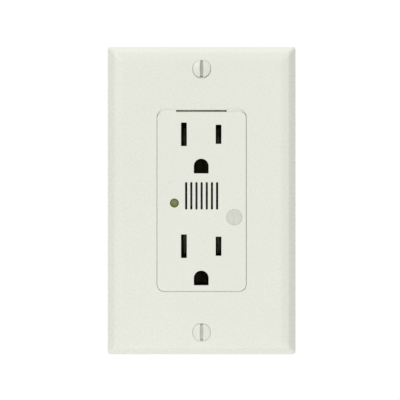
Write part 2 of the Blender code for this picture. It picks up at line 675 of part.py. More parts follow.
def rear_housing():
    """The moulded rear body, with a pocket for the terminals along each side."""
    chamfer, corner = 0.6 * MM, 2.5 * MM
    width, height = 2 * HOUSING_HALF_WIDTH, 2 * HOUSING_HALF_HEIGHT
    smaller = centred_rectangle(width - 2 * chamfer, height - 2 * chamfer, corner - 0.5 * MM)
    housing = loft(
        "rear_housing",
        [
            (HOUSING_FRONT, centred_rectangle(width, height, corner)),
            (HOUSING_REAR - chamfer, centred_rectangle(width, height, corner)),
            (HOUSING_REAR, smaller),
        ],
        GREY_PLASTIC,
    )
    inside = centred_rectangle(2 * CAVITY_HALF_WIDTH, 2 * CAVITY_HALF_HEIGHT, 1.5 * MM)
    cut(housing, [prism("housing_cavity", [inside], (-MM, HOUSING_FLOOR))])
    corners = [(x, z) for x in (-COLUMN_X, COLUMN_X) for z in (-COLUMN_Z, COLUMN_Z)]
    join(
        housing,
        [
            cylinder(f"column_{i}", (x, HOUSING_FRONT + 0.1 * MM, z), REAR, 2.4 * MM, 30 * MM)
            for i, (x, z) in enumerate(corners)
        ],
    )
    cutters = [box("foot_notch", around(0, 3.4 * MM), (-MM, 1.5 * MM), (CAVITY_HALF_HEIGHT - MM, 40 * MM))]
    for i, (x, z) in enumerate(corners):
        cutters.append(cylinder(f"column_bore_{i}", (x, -MM, z), REAR, 1.4 * MM, 35 * MM, sides=12))
        cutters.append(cylinder(f"column_counterbore_{i}", (x, 29.3 * MM, z), REAR, 2.7 * MM, 5 * MM))
    outside = HOUSING_HALF_WIDTH + MM
    for side in (-1, 1):
        pocket = sorted((side * POCKET_FLOOR, side * outside))
        cutters.append(box(f"terminal_pocket_{side}", pocket, (3.0 * MM, 20.5 * MM), around(0, 21 * MM)))
        drop_in = sorted((side * (POCKET_FLOOR - 0.1 * MM), side * 18.3 * MM))
        cutters.append(box(f"drop_in_slot_{side}", drop_in, (-MM, 4 * MM), around(0, 19.5 * MM)))
        wall = sorted((side * 14 * MM, side * 17.2 * MM))
        cutters.append(box(f"bridge_slot_{side}", wall, (-2 * MM, 14.2 * MM), around(0, 2.9 * MM)))
        for end in (-1, 1):
            centre = (side * 14 * MM, TERMINAL_Y, end * TERMINAL_Z)
            cutters.append(cylinder(f"tip_hole_{side}_{end}", centre, (side, 0, 0), 2.4 * MM, 5 * MM))
            for step in (-1, 1):
                hole = (side * 18.8 * MM, 19 * MM, end * TERMINAL_Z + step * 3.6 * MM)
                wire = cylinder(f"wire_hole_{side}_{end}_{step}", hole, REAR, 1.3 * MM, 15 * MM, sides=12)
                cutters.append(wire)
    ground = (-outside, -17.0 * MM)
    cutters.append(box("ground_pocket", ground, (-MM, 14.5 * MM), around(GROUND_TERMINAL_Z, 5.0 * MM)))
    return cut(housing, cutters)


# Circuit board and what is on it


def circuit_board():
    outline = centred_rectangle(28.4 * MM, 51.6 * MM, MM, 2)
    holes = [circle(PILOT_X + side * 1.27 * MM, PILOT_Z, 0.5 * MM, 8) for side in (-1, 1)]
    return prism("circuit_board", [outline, *holes], (BOARD_FRONT, BOARD_REAR), BOARD_GREEN)


def leads(name, places, y, radius=0.3 * MM):
    """Round wires between two depths."""
    return [
        cylinder(f"{name}_lead_{i}", (x, y[0], z), REAR, radius, y[1] - y[0], sides=8)
        for i, (x, z) in enumerate(places)
    ]


def varistor(name, z):
    """A coated disc that lies flat behind the board on its two leads."""
    radius, half = 6.8 * MM, 2.1 * MM
    x, middle = -5.6 * MM, 22.6 * MM
    profile = [(0, half), (radius - 1.2 * MM, half), (radius, half / 2), (radius, -half / 2)]
    profile += [(radius - 1.2 * MM, -half), (0, -half)]
    disc = turned(name, profile, (x, middle, z), REAR, BLUE_RESIN, sides=20)
    places = [(x - 3.7 * MM, z), (x + 3.7 * MM, z)]
    return join(disc, leads(name, places, (BOARD_REAR + GAP, middle)))


def body_along_z(name, x, y, z, radius, length, finish, sides=12):
    """A resistor or thermal fuse lying along Z, with a rounded body and bent-down leads."""
    neck = 0.7 * MM
    profile = [(0, length / 2), (radius - neck, length / 2), (radius, length / 2 - neck)]
    profile += [(r, -h) for r, h in reversed(profile)]
    body = turned(name, profile, (x, y, z), (0, 0, 1), finish, sides)
    wires = []
    for end in (-1, 1):
        far = z + end * (length / 2 + 1.5 * MM)
        path = [(x, y, z), (x, y, far), (x, BOARD_REAR + GAP, far)]
        wires.append(bent_sheet(f"{name}_wire_{end}", path, (1, 0, 0), 0.6 * MM, None, 0.6 * MM))
    return join(body, wires)


def filter_capacitor():
    y = (BOARD_REAR + GAP, 27.5 * MM)
    outline = rounded_rectangle(3.0 * MM, 10.5 * MM, 22.5 * MM, 0.8 * MM)
    made = prism("filter_capacitor", [outline], y, YELLOW_FILM)
    made.location.x = 7.6 * MM
    return made


def reservoir_capacitor():
    """A small electrolytic can standing on the board, with the crimped groove near its base."""
    radius, height = 3.1 * MM, 8.0 * MM
    profile = [(0, height), (radius - 0.5 * MM, height), (radius, height - 0.5 * MM), (radius, 2 * MM)]
    profile += [(radius - 0.4 * MM, 1.6 * MM), (radius, 1.2 * MM), (radius, 0), (0, 0)]
    foot = (8.0 * MM, BOARD_REAR + GAP, -5.0 * MM)
    return turned("reservoir_capacitor", profile, foot, REAR, BLACK_RESIN, 20)


def alarm_driver():
    """Eight-pin chip behind the board."""
    span = ((4.6 * MM, 10.4 * MM), (18.6 * MM, 21.6 * MM), (-23.4 * MM, -14.4 * MM))
    body = box("alarm_driver_chip", *span, BLACK_RESIN)
    pins = []
    for side, x in ((-1, 4.6 * MM), (1, 10.4 * MM)):
        for i in range(4):
            z = (-18.9 + (i - 1.5) * 2.2) * MM
            bend = x + side * 0.7 * MM
            path = [(x - side * MM, 20 * MM, z), (bend, 20 * MM, z), (bend, BOARD_REAR + GAP, z)]
            pins.append(bent_sheet(f"chip_pin_{side}_{i}", path, (0, 0, 1), 0.9 * MM, None, 0.4 * MM))
    return join(body, pins)


def alarm_sounder():
    """Buzzer behind the grille: a can with a sound hole, on two long pins."""
    radius, front, depth = 6.0 * MM, FACE_INSIDE + GAP, 7.0 * MM
    port, well = 1.6 * MM, 1.2 * MM
    profile = [(0, -well), (port, -well), (port, 0), (radius - 0.5 * MM, 0), (radius, -0.5 * MM)]
    profile += [(radius, -depth), (0, -depth)]
    can = turned("alarm_sounder", profile, (0, front, GRILLE_Z), FRONT, BLACK_RESIN, 24)
    places = [(-3.9 * MM, GRILLE_Z), (3.9 * MM, GRILLE_Z)]
    return join(can, leads("sounder", places, (front + depth - MM, BOARD_FRONT - GAP), 0.35 * MM))


def pilot_lamp():
    """3 mm light-emitting diode in the face, on two long leads to the board."""
    radius, tip, base = PILOT_RADIUS, FACE_FRONT + 0.15 * MM, -0.9 * MM
    height = base - tip
    turns = [HALF_TURN / 10 * i for i in range(6)]
    dome = [(radius * math.sin(a), height - radius * 0.6 * (1 - math.cos(a))) for a in turns]
    profile = [*dome, (radius, 0.9 * MM), (1.9 * MM, 0.9 * MM), (1.9 * MM, 0), (0, 0)]
    lamp = turned("pilot_lamp", profile, (PILOT_X, base, PILOT_Z), FRONT, GREEN_LENS, 24)
    places = [(PILOT_X + side * 1.27 * MM, PILOT_Z) for side in (-1, 1)]
    return join(lamp, leads("pilot", places, (base - 0.5 * MM, BOARD_FRONT - GAP), 0.25 * MM))


def pilot_spacer():
    """Nylon tube that holds the lamp off the board."""
    outer, inner, front, rear = 2.4 * MM, 1.75 * MM, -0.5 * MM, BOARD_FRONT - GAP
    profile = [(inner, front), (outer, front), (outer, rear), (inner, rear), (inner, front)]
    profile = [(radius, -y) for radius, y in profile]
    return turned("pilot_spacer", profile, (PILOT_X, 0, PILOT_Z), FRONT, CLEAR_NYLON, 20)


def build():
    wall_plate()
    plate_screw("plate_screw_upper", PLATE_SCREW_Z, 0)
    plate_screw("plate_screw_lower", -PLATE_SCREW_Z, 0)
    face_cover()
    mounting_strap()
    self_ground_clip()
    rivet("clip_rivet", -RIVET_Z, -STRAP_THICKNESS - GAP, 1.3 * MM)
    rivet("ground_rivet", RIVET_Z, -STRAP_THICKNESS - GAP, 1.4 * MM)
    ground_contacts()
    ground_screw()
    rear_housing()
    for name, end, turn in (("upper", 1, 35), ("lower", -1, 110)):
        device_screw(f"device_screw_{name}", end * DEVICE_SCREW_Z, turn)
        screw_retainer(f"screw_retainer_{name}", end * DEVICE_SCREW_Z)
    for pole, side, finish in (("line", 1, BRASS), ("neutral", -1, NICKEL)):
        blade_contacts(f"{pole}_contacts", side, BRASS)
        for name, end, turn in (("upper", 1, 15), ("lower", -1, 70)):
            clamp_plate(f"{pole}_clamp_{name}", side, end * TERMINAL_Z)
            terminal_screw(f"{pole}_screw_{name}", side, end * TERMINAL_Z, finish, turn)
    for name, x, z, turn in (
        ("upper_left", -COLUMN_X, COLUMN_Z, 20),
        ("upper_right", COLUMN_X, COLUMN_Z, 65),
        ("lower_left", -COLUMN_X, -COLUMN_Z, 130),
        ("lower_right", COLUMN_X, -COLUMN_Z, 90),
    ):
        housing_screw(f"housing_screw_{name}", x, z, turn)
    circuit_board()
    varistor("varistor_line_neutral", 16.5 * MM)
    varistor("varistor_line_ground", 1.5 * MM)
    varistor("varistor_neutral_ground", -13.5 * MM)
    body_along_z("thermal_fuse", 6.0 * MM, 20.6 * MM, 4.0 * MM, 1.8 * MM, 7.0 * MM, BEIGE_BODY)
    body_along_z("lamp_resistor", 12.3 * MM, 19.6 * MM, 16.0 * MM, 1.2 * MM, 6.0 * MM, BEIGE_BODY)
    body_along_z("bleed_resistor", 12.3 * MM, 19.6 * MM, 5.0 * MM, 1.2 * MM, 6.0 * MM, BEIGE_BODY)
    filter_capacitor()
    reservoir_capacitor()
    alarm_driver()
    alarm_sounder()
    pilot_lamp()
    pilot_spacer()


build()
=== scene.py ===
"""Looks of the surge-protective duplex receptacle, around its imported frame.

Shapes are made in millimetres, in the frame's axes (+X right, +Y into the wall, +Z up), and
scaled to metres as they become objects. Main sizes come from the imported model; the places of
slots and holes, which its boxes can't give, are constants here.
"""

import math

import bmesh
import bpy
from mathutils import Matrix, Vector
from mathutils.geometry import tessellate_polygon


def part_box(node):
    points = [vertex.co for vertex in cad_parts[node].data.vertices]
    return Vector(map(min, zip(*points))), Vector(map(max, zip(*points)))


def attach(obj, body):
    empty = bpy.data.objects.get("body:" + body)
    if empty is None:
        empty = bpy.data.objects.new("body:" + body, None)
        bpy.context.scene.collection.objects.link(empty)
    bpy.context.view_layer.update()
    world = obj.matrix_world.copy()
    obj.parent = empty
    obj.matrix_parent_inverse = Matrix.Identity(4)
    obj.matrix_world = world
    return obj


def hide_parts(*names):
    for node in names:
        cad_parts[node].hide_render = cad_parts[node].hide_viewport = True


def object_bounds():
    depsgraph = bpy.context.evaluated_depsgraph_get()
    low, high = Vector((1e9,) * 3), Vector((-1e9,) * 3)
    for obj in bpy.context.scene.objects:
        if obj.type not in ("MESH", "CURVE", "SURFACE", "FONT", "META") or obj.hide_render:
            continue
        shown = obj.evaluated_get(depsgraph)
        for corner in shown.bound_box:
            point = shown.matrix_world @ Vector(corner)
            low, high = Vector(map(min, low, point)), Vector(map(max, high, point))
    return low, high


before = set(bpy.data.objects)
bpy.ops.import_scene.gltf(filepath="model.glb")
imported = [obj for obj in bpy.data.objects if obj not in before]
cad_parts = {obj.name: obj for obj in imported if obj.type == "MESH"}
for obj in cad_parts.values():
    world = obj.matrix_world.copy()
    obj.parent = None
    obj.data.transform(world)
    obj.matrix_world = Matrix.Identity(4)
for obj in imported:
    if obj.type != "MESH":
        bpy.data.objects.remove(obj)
cad_low, cad_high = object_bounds()

MM = 0.001
FRONT, REAR = Vector((0, -1, 0)), Vector((0, 1, 0))
RIGHT, UP = Vector((1, 0, 0)), Vector((0, 0, 1))
XZ = (RIGHT, UP, REAR)  # an outline seen from the front, extruded into the wall
YZ = (REAR, UP, RIGHT)  # an outline seen from the side, extruded across
YX = (REAR, RIGHT, UP)  # an outline seen from above, extruded upwards
RECEPTACLE = "receptacle"

# Places and sizes, in mm
SIDES = (-1, 1)
ENDS = (("upper", 1), ("lower", -1))
POLES = (("line", 1), ("neutral", -1))
BLADE_X, BLADE_Z = 6.35, (24.3, -16.75)
BLADE_WIDTH = 2.10
NEUTRAL_HEIGHT, LINE_HEIGHT = 8.65, 7.05
OUTLET_X = -0.15  # the outlets stand a hair left of the plate's middle
GROUND_DROP, GROUND_RADIUS = 11.65, 2.70
GRILLE_Z, GRILLE_PITCH, GRILLE_WIDTH, GRILLE_HEIGHT, GRILLE_COUNT = 1.72, 1.89, 0.80, 10.1, 7
DISC, DISC_RADIUS = (12.0, -6.15), 2.95
OPENING = (16.42, -33.37, 33.25)  # half width, bottom and top of the plate's opening
BOX_SCREW_Z, PLATE_SCREW_Z, RIVET_Z = 41.65, 48.42, 36.2
COLUMN = (13.3, 29.5)  # the housing's screw columns
CORNERS = [(x, z) for x in (-COLUMN[0], COLUMN[0]) for z in (-COLUMN[1], COLUMN[1])]
TERMINAL_Y, TERMINAL_Z = 11.5, 12.0
THREAD_PITCH = 0.794  # 32 to the inch
GROUND_SCREW = (6.0, -27.2)
SKIN = 0.8  # how thick the white face is in front of the black pieces
GRILLE_SPAN = (GRILLE_Z - GRILLE_HEIGHT / 2 - 0.5, GRILLE_Z + GRILLE_HEIGHT / 2 + 0.5)


def box_mm(node):
    low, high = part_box(node)
    return low / MM, high / MM


def mirrored(side, near, far):
    """The (low, high) of a stretch between two distances from the middle, on one side of it."""
    return sorted((side * near, side * far))


FACE_FRONT = box_mm("face_cover")[0].y


# Outlines: lists of (u, v) points, anticlockwise


def arc(centre, radius, start, end, steps):
    angles = [math.radians(start + (end - start) * i / steps) for i in range(steps + 1)]
    return [(centre[0] + radius * math.cos(a), centre[1] + radius * math.sin(a)) for a in angles]


def rectangle(left, right, low, high, radius, steps=6):
    r = radius
    return (
        arc((right - r, low + r), r, -90, 0, steps)
        + arc((right - r, high - r), r, 0, 90, steps)
        + arc((left + r, high - r), r, 90, 180, steps)
        + arc((left + r, low + r), r, 180, 270, steps)
    )


def around(u, v, width, height, radius, steps=6):
    return rectangle(u - width / 2, u + width / 2, v - height / 2, v + height / 2, radius, steps)


def circle(u, v, radius, steps=32):
    return arc((u, v), radius, 0, 360 - 360 / steps, steps - 1)


def stadium(u, v, width, height, steps=10):
    """Round-ended slot. Its corners' radius is just under half of its shorter side."""
    return around(u, v, width, height, min(width, height) / 2 - 0.001, steps)


def rounded(points, radii, steps=5, closed=False):
    """A polyline with its corners turned into arcs. radii is one number or one for each point."""
    if not isinstance(radii, (list, tuple)):
        radii = [radii] * len(points)
    made = []
    last = len(points) - 1
    for i, point in enumerate(points):
        here = Vector(point)
        if radii[i] <= 0 or (not closed and i in (0, last)):
            made.append(tuple(here))
            continue
        before = Vector(points[i - 1]) - here
        after = Vector(points[(i + 1) % len(points)]) - here
        half = before.angle(after) / 2
        if half > math.pi / 2 - 0.01:
            made.append(tuple(here))
            continue
        reach = min(radii[i] / math.tan(half), before.length * 0.49, after.length * 0.49)
        radius = reach * math.tan(half)
        first, second = before.normalized(), after.normalized()
        centre = here + (first + second).normalized() * radius / math.sin(half)
        start, end = here + first * reach - centre, here + second * reach - centre
        sweep = start.angle_signed(end)
        for k in range(steps + 1):
            turn = Matrix.Rotation(-sweep * k / steps, 2)
            made.append(tuple(centre + turn @ start))
    return made


def area(outline):
    pairs = zip(outline, outline[1:] + outline[:1])
    return sum(a[0] * b[1] - b[0] * a[1] for a, b in pairs) / 2


def inset(outline, distance):
    """The outline moved to its left, so inwards if it runs anticlockwise."""
    made = []
    count = len(outline)
    for i, point in enumerate(outline):
        here = Vector(point)
        before = (here - Vector(outline[i - 1])).normalized()
        after = (Vector(outline[(i + 1) % count]) - here).normalized()
        side = Vector((-before.y - after.y, before.x + after.x))
        if side.length < 1e-6:
            made.append(tuple(here))
            continue
        side.normalize()
        lean = max(0.3, side.dot(Vector((-before.y, before.x))))
        made.append(tuple(here + side * distance / lean))
    return made


# Meshes


def new_object(name, bm, *finishes):
    """The bmesh, made in mm, as an object in metres."""
    bmesh.ops.recalc_face_normals(bm, faces=bm.faces)
    bmesh.ops.scale(bm, vec=(MM, MM, MM), verts=bm.verts)
    mesh = bpy.data.meshes.new(name)
    bm.to_mesh(mesh)
    bm.free()
    obj = bpy.data.objects.new(name, mesh)
    bpy.context.scene.collection.objects.link(obj)
    for finish in finishes:
        mesh.materials.append(finish)
    return obj


def apply_modifiers(obj):
    graph = bpy.context.evaluated_depsgraph_get()
    old, mesh = obj.data, bpy.data.meshes.new_from_object(obj.evaluated_get(graph))
    obj.modifiers.clear()
    obj.data = mesh
    bpy.data.meshes.remove(old)
    return obj


def combine(obj, others, operation):
    group = bpy.data.collections.new(f"{obj.name}_{operation.lower()}")
    for other in others:
        if obj.data.materials and not other.data.materials:
            other.data.materials.append(obj.data.materials[0])
        group.objects.link(other)
    boolean = obj.modifiers.new("boolean", "BOOLEAN")
    boolean.operation, boolean.solver = operation, "EXACT"
    boolean.operand_type, boolean.collection = "COLLECTION", group
    boolean.material_mode = "TRANSFER"
    apply_modifiers(obj)
    for other in others:
        mesh = other.data
        bpy.data.objects.remove(other)
        bpy.data.meshes.remove(mesh)
    bpy.data.collections.remove(group)
    return obj


def carve(obj, *cutters):
    return combine(obj, cutters, "DIFFERENCE")


def weld(obj, *others):
    return combine(obj, others, "UNION")


def soften(obj, width, angle):
    """Rounds edges sharper than angle, in mm, and shades the rest smooth."""
    bm = bmesh.new()
    bm.from_mesh(obj.data)
    bmesh.ops.remove_doubles(bm, verts=bm.verts, dist=0.001 * MM)
    bmesh.ops.dissolve_degenerate(bm, edges=bm.edges, dist=0.001 * MM)
    bmesh.ops.dissolve_limit(bm, angle_limit=math.radians(0.2), verts=bm.verts, edges=bm.edges)
    bm.to_mesh(obj.data)
    bm.free()
    if width:
        bevel = obj.modifiers.new("rounded_edges", "BEVEL")
        bevel.width, bevel.segments = width * MM, 2
        bevel.limit_method, bevel.angle_limit = "ANGLE", math.radians(angle)
        bevel.use_clamp_overlap = True
        bevel.miter_outer = "MITER_ARC"
        apply_modifiers(obj)
    obj.data.shade_smooth()
    obj.data.set_sharp_from_angle(angle=math.radians(angle))
    normals = obj.modifiers.new("even_shading", "WEIGHTED_NORMAL")
    normals.keep_sharp = True
    normals.weight = 60
    return obj


def bridge(bm, rings):
    """Four-sided faces from each ring of vertices to the next."""
    for near, far in zip(rings, rings[1:]):
        for i in range(len(near)):
            j = (i + 1) % len(near)
            bm.faces.new((near[i], near[j], far[j], far[i]))


def enclose(bm, rings):
    bridge(bm, rings)
    bm.faces.new(rings[0])
    bm.faces.new(reversed(rings[-1]))


def loft(name, sections, *finishes, axes=XZ):
    """A closed skin over (depth, outline) sections with equal numbers of points."""
    across, up, along = axes
    bm = bmesh.new()
    rings = [
        [bm.verts.new(across * u + up * v + along * depth) for u, v in outline]
        for depth, outline in sections
    ]
    enclose(bm, rings)
    return new_object(name, bm, *finishes)


def slab(name, outlines, span, edge, *finishes, axes=XZ):
    """Stamped plate: the first outline less the others, between two depths, with round edges."""
    across, up, along = axes
    low, high = span
    loops = [
        list(outline) if (area(outline) > 0) == (i == 0) else list(reversed(outline))
        for i, outline in enumerate(outlines)
    ]
    turns = [math.radians(angle) for angle in ((90, 60, 30, 0) if edge else (90,))]
    levels = [(low + edge * (1 - math.sin(a)), edge * (1 - math.cos(a))) for a in turns]
    levels += [(low + high - depth, step) for depth, step in reversed(levels)]
    bm = bmesh.new()
    ends = [[], []]
    for loop in loops:
        rings = [
            [bm.verts.new(across * u + up * v + along * depth) for u, v in inset(loop, step)]
            for depth, step in levels
        ]
        bridge(bm, rings)
        ends[0].append(rings[0])
        ends[1].append(rings[-1])
    flat = [[Vector((u, v, 0)) for u, v in inset(loop, levels[0][1])] for loop in loops]
    triangles = tessellate_polygon(flat)
    for rings in ends:
        verts = [vert for ring in rings for vert in ring]
        for triangle in triangles:
            corners = [verts[i] for i in triangle]
            if len(set(corners)) == 3 and not bm.faces.get(corners):
                bm.faces.new(corners)
    bmesh.ops.remove_doubles(bm, verts=bm.verts, dist=0.0005)
    return new_object(name, bm, *finishes)


def block(name, x, y, z, corner, *finishes, edge=0.0):
    """A box between (low, high) pairs with its edges along Y rounded by corner."""
    square = [(x[0], z[0]), (x[1], z[0]), (x[1], z[1]), (x[0], z[1])]
    outline = rectangle(*x, *z, corner) if corner else square
    return slab(name, [outline], y, edge, *finishes)


def on_axis(seat, axis, turn=0):
    """Takes +Z at the origin to the axis through seat, turned about it by turn degrees."""
    placed = Vector(axis).to_track_quat("Z", "Y").to_matrix().to_4x4()
    placed.translation = Vector(seat)
    return placed @ Matrix.Rotation(math.radians(turn), 4, "Z")


def lathe(name, profile, seat, axis, *finishes, steps=48, thread=None, bare_below=None):
    """A profile of (radius, height) turned about the axis through seat.

    thread is (pitch, depth, top, bottom): a helical groove between two heights. Below the
    height bare_below the piece has its second finish.
    """
    placed = on_axis(seat, axis)
    bm = bmesh.new()

    def cut_depth(height, angle):
        if thread is None:
            return 0.0
        pitch, depth, top, bottom = thread
        if not bottom < height < top:
            return 0.0
        fade = min(1.0, (top - height) / pitch, (height - bottom) / pitch * 2)
        phase = (height / pitch + angle / (2 * math.pi)) % 1.0
        return depth * fade * min(1.0, 1.25 * (1 - abs(2 * phase - 1)))

    rings = []
    for radius, height in profile:
        if radius < 1e-6:
            rings.append([bm.verts.new(placed @ Vector((0, 0, height)))])
            continue
        ring = []
        for i in range(steps):
            angle = 2 * math.pi * i / steps
            here = radius - cut_depth(height, angle)
            spot = Vector((here * math.cos(angle), here * math.sin(angle), height))
            ring.append(bm.verts.new(placed @ spot))
        rings.append(ring)
    for near, far, point in zip(rings, rings[1:], profile[1:]):
        for i in range(steps):
            j = (i + 1) % steps
            corners = [near[i % len(near)], near[j % len(near)], far[j % len(far)], far[i % len(far)]]
            corners = list(dict.fromkeys(corners))
            if len(corners) > 2:
                skin = bm.faces.new(corners)
                skin.material_index = int(bare_below is not None and point[1] < bare_below)
    return new_object(name, bm, *finishes)


def rod(name, radius, reach, seat, axis, steps=40):
    """A cylinder that reaches as far in front of its seat as behind it."""
    profile = [(0, reach), (radius, reach), (radius, -reach), (0, -reach)]
    return lathe(name, profile, seat, axis, steps=steps)


def ribbon(path, thickness, radius, steps=5):
    """The outline of a bent sheet whose middle follows the path, with bends of that radius."""
    line = rounded(path, radius, steps)
    left, right = [], []
    for i, point in enumerate(line):
        here = Vector(point)
        ahead = Vector(line[min(i + 1, len(line) - 1)])
        behind = Vector(line[max(i - 1, 0)])
        along = (ahead - behind).normalized()
        side = Vector((-along.y, along.x)) * thickness / 2
        left.append(tuple(here + side))
        right.append(tuple(here - side))
    return left + right[::-1]


def rolled_cutter(name, outline, front, rear, roll, steps=4):
    """Cuts a hole whose front edge is rounded. outline(grown) gives it grown by that much."""
    sections = [(front - 1.0, outline(roll))]
    for k in range(steps + 1):
        turn = math.radians(90 * k / steps)
        sections.append((front + roll * (1 - math.cos(turn)), outline(roll * (1 - math.sin(turn)))))
    sections.append((rear, outline(0)))
    return loft(name, sections)


# Materials. Patterns use object coordinates, which are the frame's metres.


def new_node(tree, kind, values=None, **settings):
    """A node with each value in its socket, or linked to it where the value is an output."""
    made = tree.nodes.new(kind)
    for key, value in settings.items():
        setattr(made, key, value)
    for socket, value in (values or {}).items():
        if isinstance(value, bpy.types.NodeSocket):
            tree.links.new(value, made.inputs[socket])
        else:
            made.inputs[socket].default_value = value
    return made


def new_ramp(tree, value, low, high, start, end):
    """value between start and end, mapped to low and high."""
    values = {"Value": value, "From Min": start, "From Max": end, "To Min": low, "To Max": high}
    return new_node(tree, "ShaderNodeMapRange", values).outputs["Result"]


class Finish:
    """A Principled material with helpers that add its patterns."""

    def __init__(self, name, colour, roughness, metallic=0.0, **sockets):
        self.material = bpy.data.materials.new(name)
        self.material.use_nodes = True
        self.tree = self.material.node_tree
        self.shader = self.tree.nodes["Principled BSDF"]
        self.colour = colour
        self.shader.inputs["Base Color"].default_value = (*colour, 1)
        self.shader.inputs["Roughness"].default_value = roughness
        self.shader.inputs["Metallic"].default_value = metallic
        for key, value in sockets.items():
            self.shader.inputs[key.replace("_", " ")].default_value = value
        self.place = self.tree.nodes.new("ShaderNodeTexCoord").outputs["Object"]
        self.height = None

    def node(self, kind, values=None, **settings):
        return new_node(self.tree, kind, values, **settings)

    def link(self, start, end):
        self.tree.links.new(start, end)

    def noise(self, scale, detail=3.0, stretch=(1, 1, 1)):
        """Noise with features of about 1/scale metres, longer where stretch is under 1."""
        place = self.place
        if stretch != (1, 1, 1):
            mapping = self.node("ShaderNodeMapping", {"Scale": stretch, "Vector": place})
            place = mapping.outputs["Vector"]
        values = {"Scale": scale, "Detail": detail, "Roughness": 0.55, "Vector": place}
        return self.node("ShaderNodeTexNoise", values).outputs["Fac"]

    def ramp(self, value, low, high, start=0.35, end=0.65):
        return new_ramp(self.tree, value, low, high, start, end)

    def mix(self, factor, first, second, blend="MIX"):
        first, second = ((*part, 1) if isinstance(part, tuple) else part for part in (first, second))
        values = {"Factor": factor, 6: first, 7: second}
        return self.node("ShaderNodeMix", values, data_type="RGBA", blend_type=blend).outputs[2]

    def tint(self, value, first, second, start=0.35, end=0.65):
        """Colours the surface from first to second as value goes from start to end."""
        current = self.shader.inputs["Base Color"]
        colour = self.mix(self.ramp(value, 0, 1, start, end), first, second)
        if current.is_linked:
            colour = self.mix(1.0, current.links[0].from_socket, colour, "MULTIPLY")
        self.link(colour, current)
        return self

    def gloss(self, value, low, high, start=0.35, end=0.65):
        self.link(self.ramp(value, low, high, start, end), self.shader.inputs["Roughness"])
        return self

    def bump(self, value, height):
        """Raises the surface by up to height, in mm, where value is 1."""
        values = {"Distance": height * MM, "Strength": 1.0, "Height": value}
        if self.height is not None:
            values["Normal"] = self.height
        self.height = self.node("ShaderNodeBump", values).outputs["Normal"]
        self.link(self.height, self.shader.inputs["Normal"])
        return self

    def worn(self, colour, strength=1.0, reach=0.25):
        """Shows the colour within reach mm of the edges, broken up by noise."""
        smoothed = self.node("ShaderNodeBevel", {"Radius": reach * MM}, samples=6).outputs["Normal"]
        flat = self.node("ShaderNodeNewGeometry").outputs["Normal"]
        turn = self.node("ShaderNodeVectorMath", {0: smoothed, 1: flat}, operation="DOT_PRODUCT")
        edges = self.ramp(turn.outputs["Value"], strength, 0, 0.90, 0.99)
        patches = self.ramp(self.noise(2500, 4), 0, 1, 0.42, 0.60)
        broken = self.node("ShaderNodeMath", {0: edges, 1: patches}, operation="MULTIPLY")
        current = self.shader.inputs["Base Color"]
        first = current.links[0].from_socket if current.is_linked else self.colour
        self.link(self.mix(broken.outputs[0], first, colour), current)
        return self


def scaled(colour, factor):
    return tuple(min(1.0, part * factor) for part in colour)


def ivory(name, colour, roughness, uneven=0.007, scale=30):
    """Gloss thermoplastic, very slightly uneven in tone and with a fine moulded skin."""
    made = Finish(name, colour, roughness, IOR=1.49)
    made.tint(made.noise(scale, 2), scaled(colour, 1 - uneven), scaled(colour, 1 + uneven))
    made.gloss(made.noise(900, 4), roughness - 0.04, roughness + 0.06)
    made.bump(made.noise(3500, 2), 0.0006)
    made.bump(made.noise(180, 1), 0.0007)
    return made.material


def moulded(name, colour, roughness, grain=0.02):
    """Filled plastic with a matt, slightly grainy skin and paler rubbed edges."""
    made = Finish(name, colour, roughness, IOR=1.5)
    made.tint(made.noise(120, 4), scaled(colour, 0.85), scaled(colour, 1.15))
    made.gloss(made.noise(600, 4), roughness - 0.08, roughness + 0.1)
    made.bump(made.noise(2600, 3), grain)
    made.worn(scaled(colour, 2.0), 0.8)
    return made.material


def plated(name, colour, roughness, stretch=(1, 1, 1), dull=None, scale=700):
    """Metal with a rolled or turned grain, faint stains and brighter edges."""
    made = Finish(name, colour, roughness, 1.0)
    made.tint(made.noise(180, 5), dull or scaled(colour, 0.82), colour)
    made.gloss(made.noise(scale, 5, stretch), roughness - 0.07, roughness + 0.13)
    made.bump(made.noise(scale * 3, 3, stretch), 0.004)
    made.worn(scaled(colour, 1.2))
    return made.material


def painted(name, colour, roughness, metal):
    """Enamel on steel, with a slight orange peel, chipped where a screwdriver bears."""
    made = Finish(name, colour, roughness, IOR=1.5)
    made.shader.inputs["Coat Weight"].default_value = 0.3
    made.shader.inputs["Coat Roughness"].default_value = 0.15
    made.tint(made.noise(500, 3), scaled(colour, 0.96), colour)
    made.gloss(made.noise(900, 3), roughness - 0.05, roughness + 0.08)
    made.bump(made.noise(1800, 2), 0.006)
    made.worn(metal, 0.6, 0.15)
    return made.material


def fibre(name, colour):
    made = Finish(name, colour, 0.8)
    made.tint(made.noise(1500, 5, (1, 1, 0.3)), scaled(colour, 0.6), scaled(colour, 1.3))
    made.bump(made.noise(1800, 5, (1, 1, 0.3)), 0.03)
    return made.material


def resin(name, colour, roughness, dip=0.05):
    """Dipped epoxy: gloss, with a softly uneven thickness."""
    made = Finish(name, colour, roughness)
    made.shader.inputs["Coat Weight"].default_value = 0.4
    made.tint(made.noise(300, 3), scaled(colour, 0.8), scaled(colour, 1.2))
    made.gloss(made.noise(700, 3), roughness - 0.05, roughness + 0.1)
    made.bump(made.noise(350, 2), dip)
    return made.material


def board(name, colour):
    """Green solder mask over copper areas, with the weave just showing."""
    made = Finish(name, colour, 0.4)
    copper = made.noise(260, 0)
    made.tint(copper, colour, scaled(colour, 1.9), 0.47, 0.50)
    made.bump(copper, 0.02)
    made.bump(made.noise(1400, 2, (1, 1, 0.4)), 0.006)
    made.gloss(made.noise(900, 3), 0.32, 0.5)
    return made.material


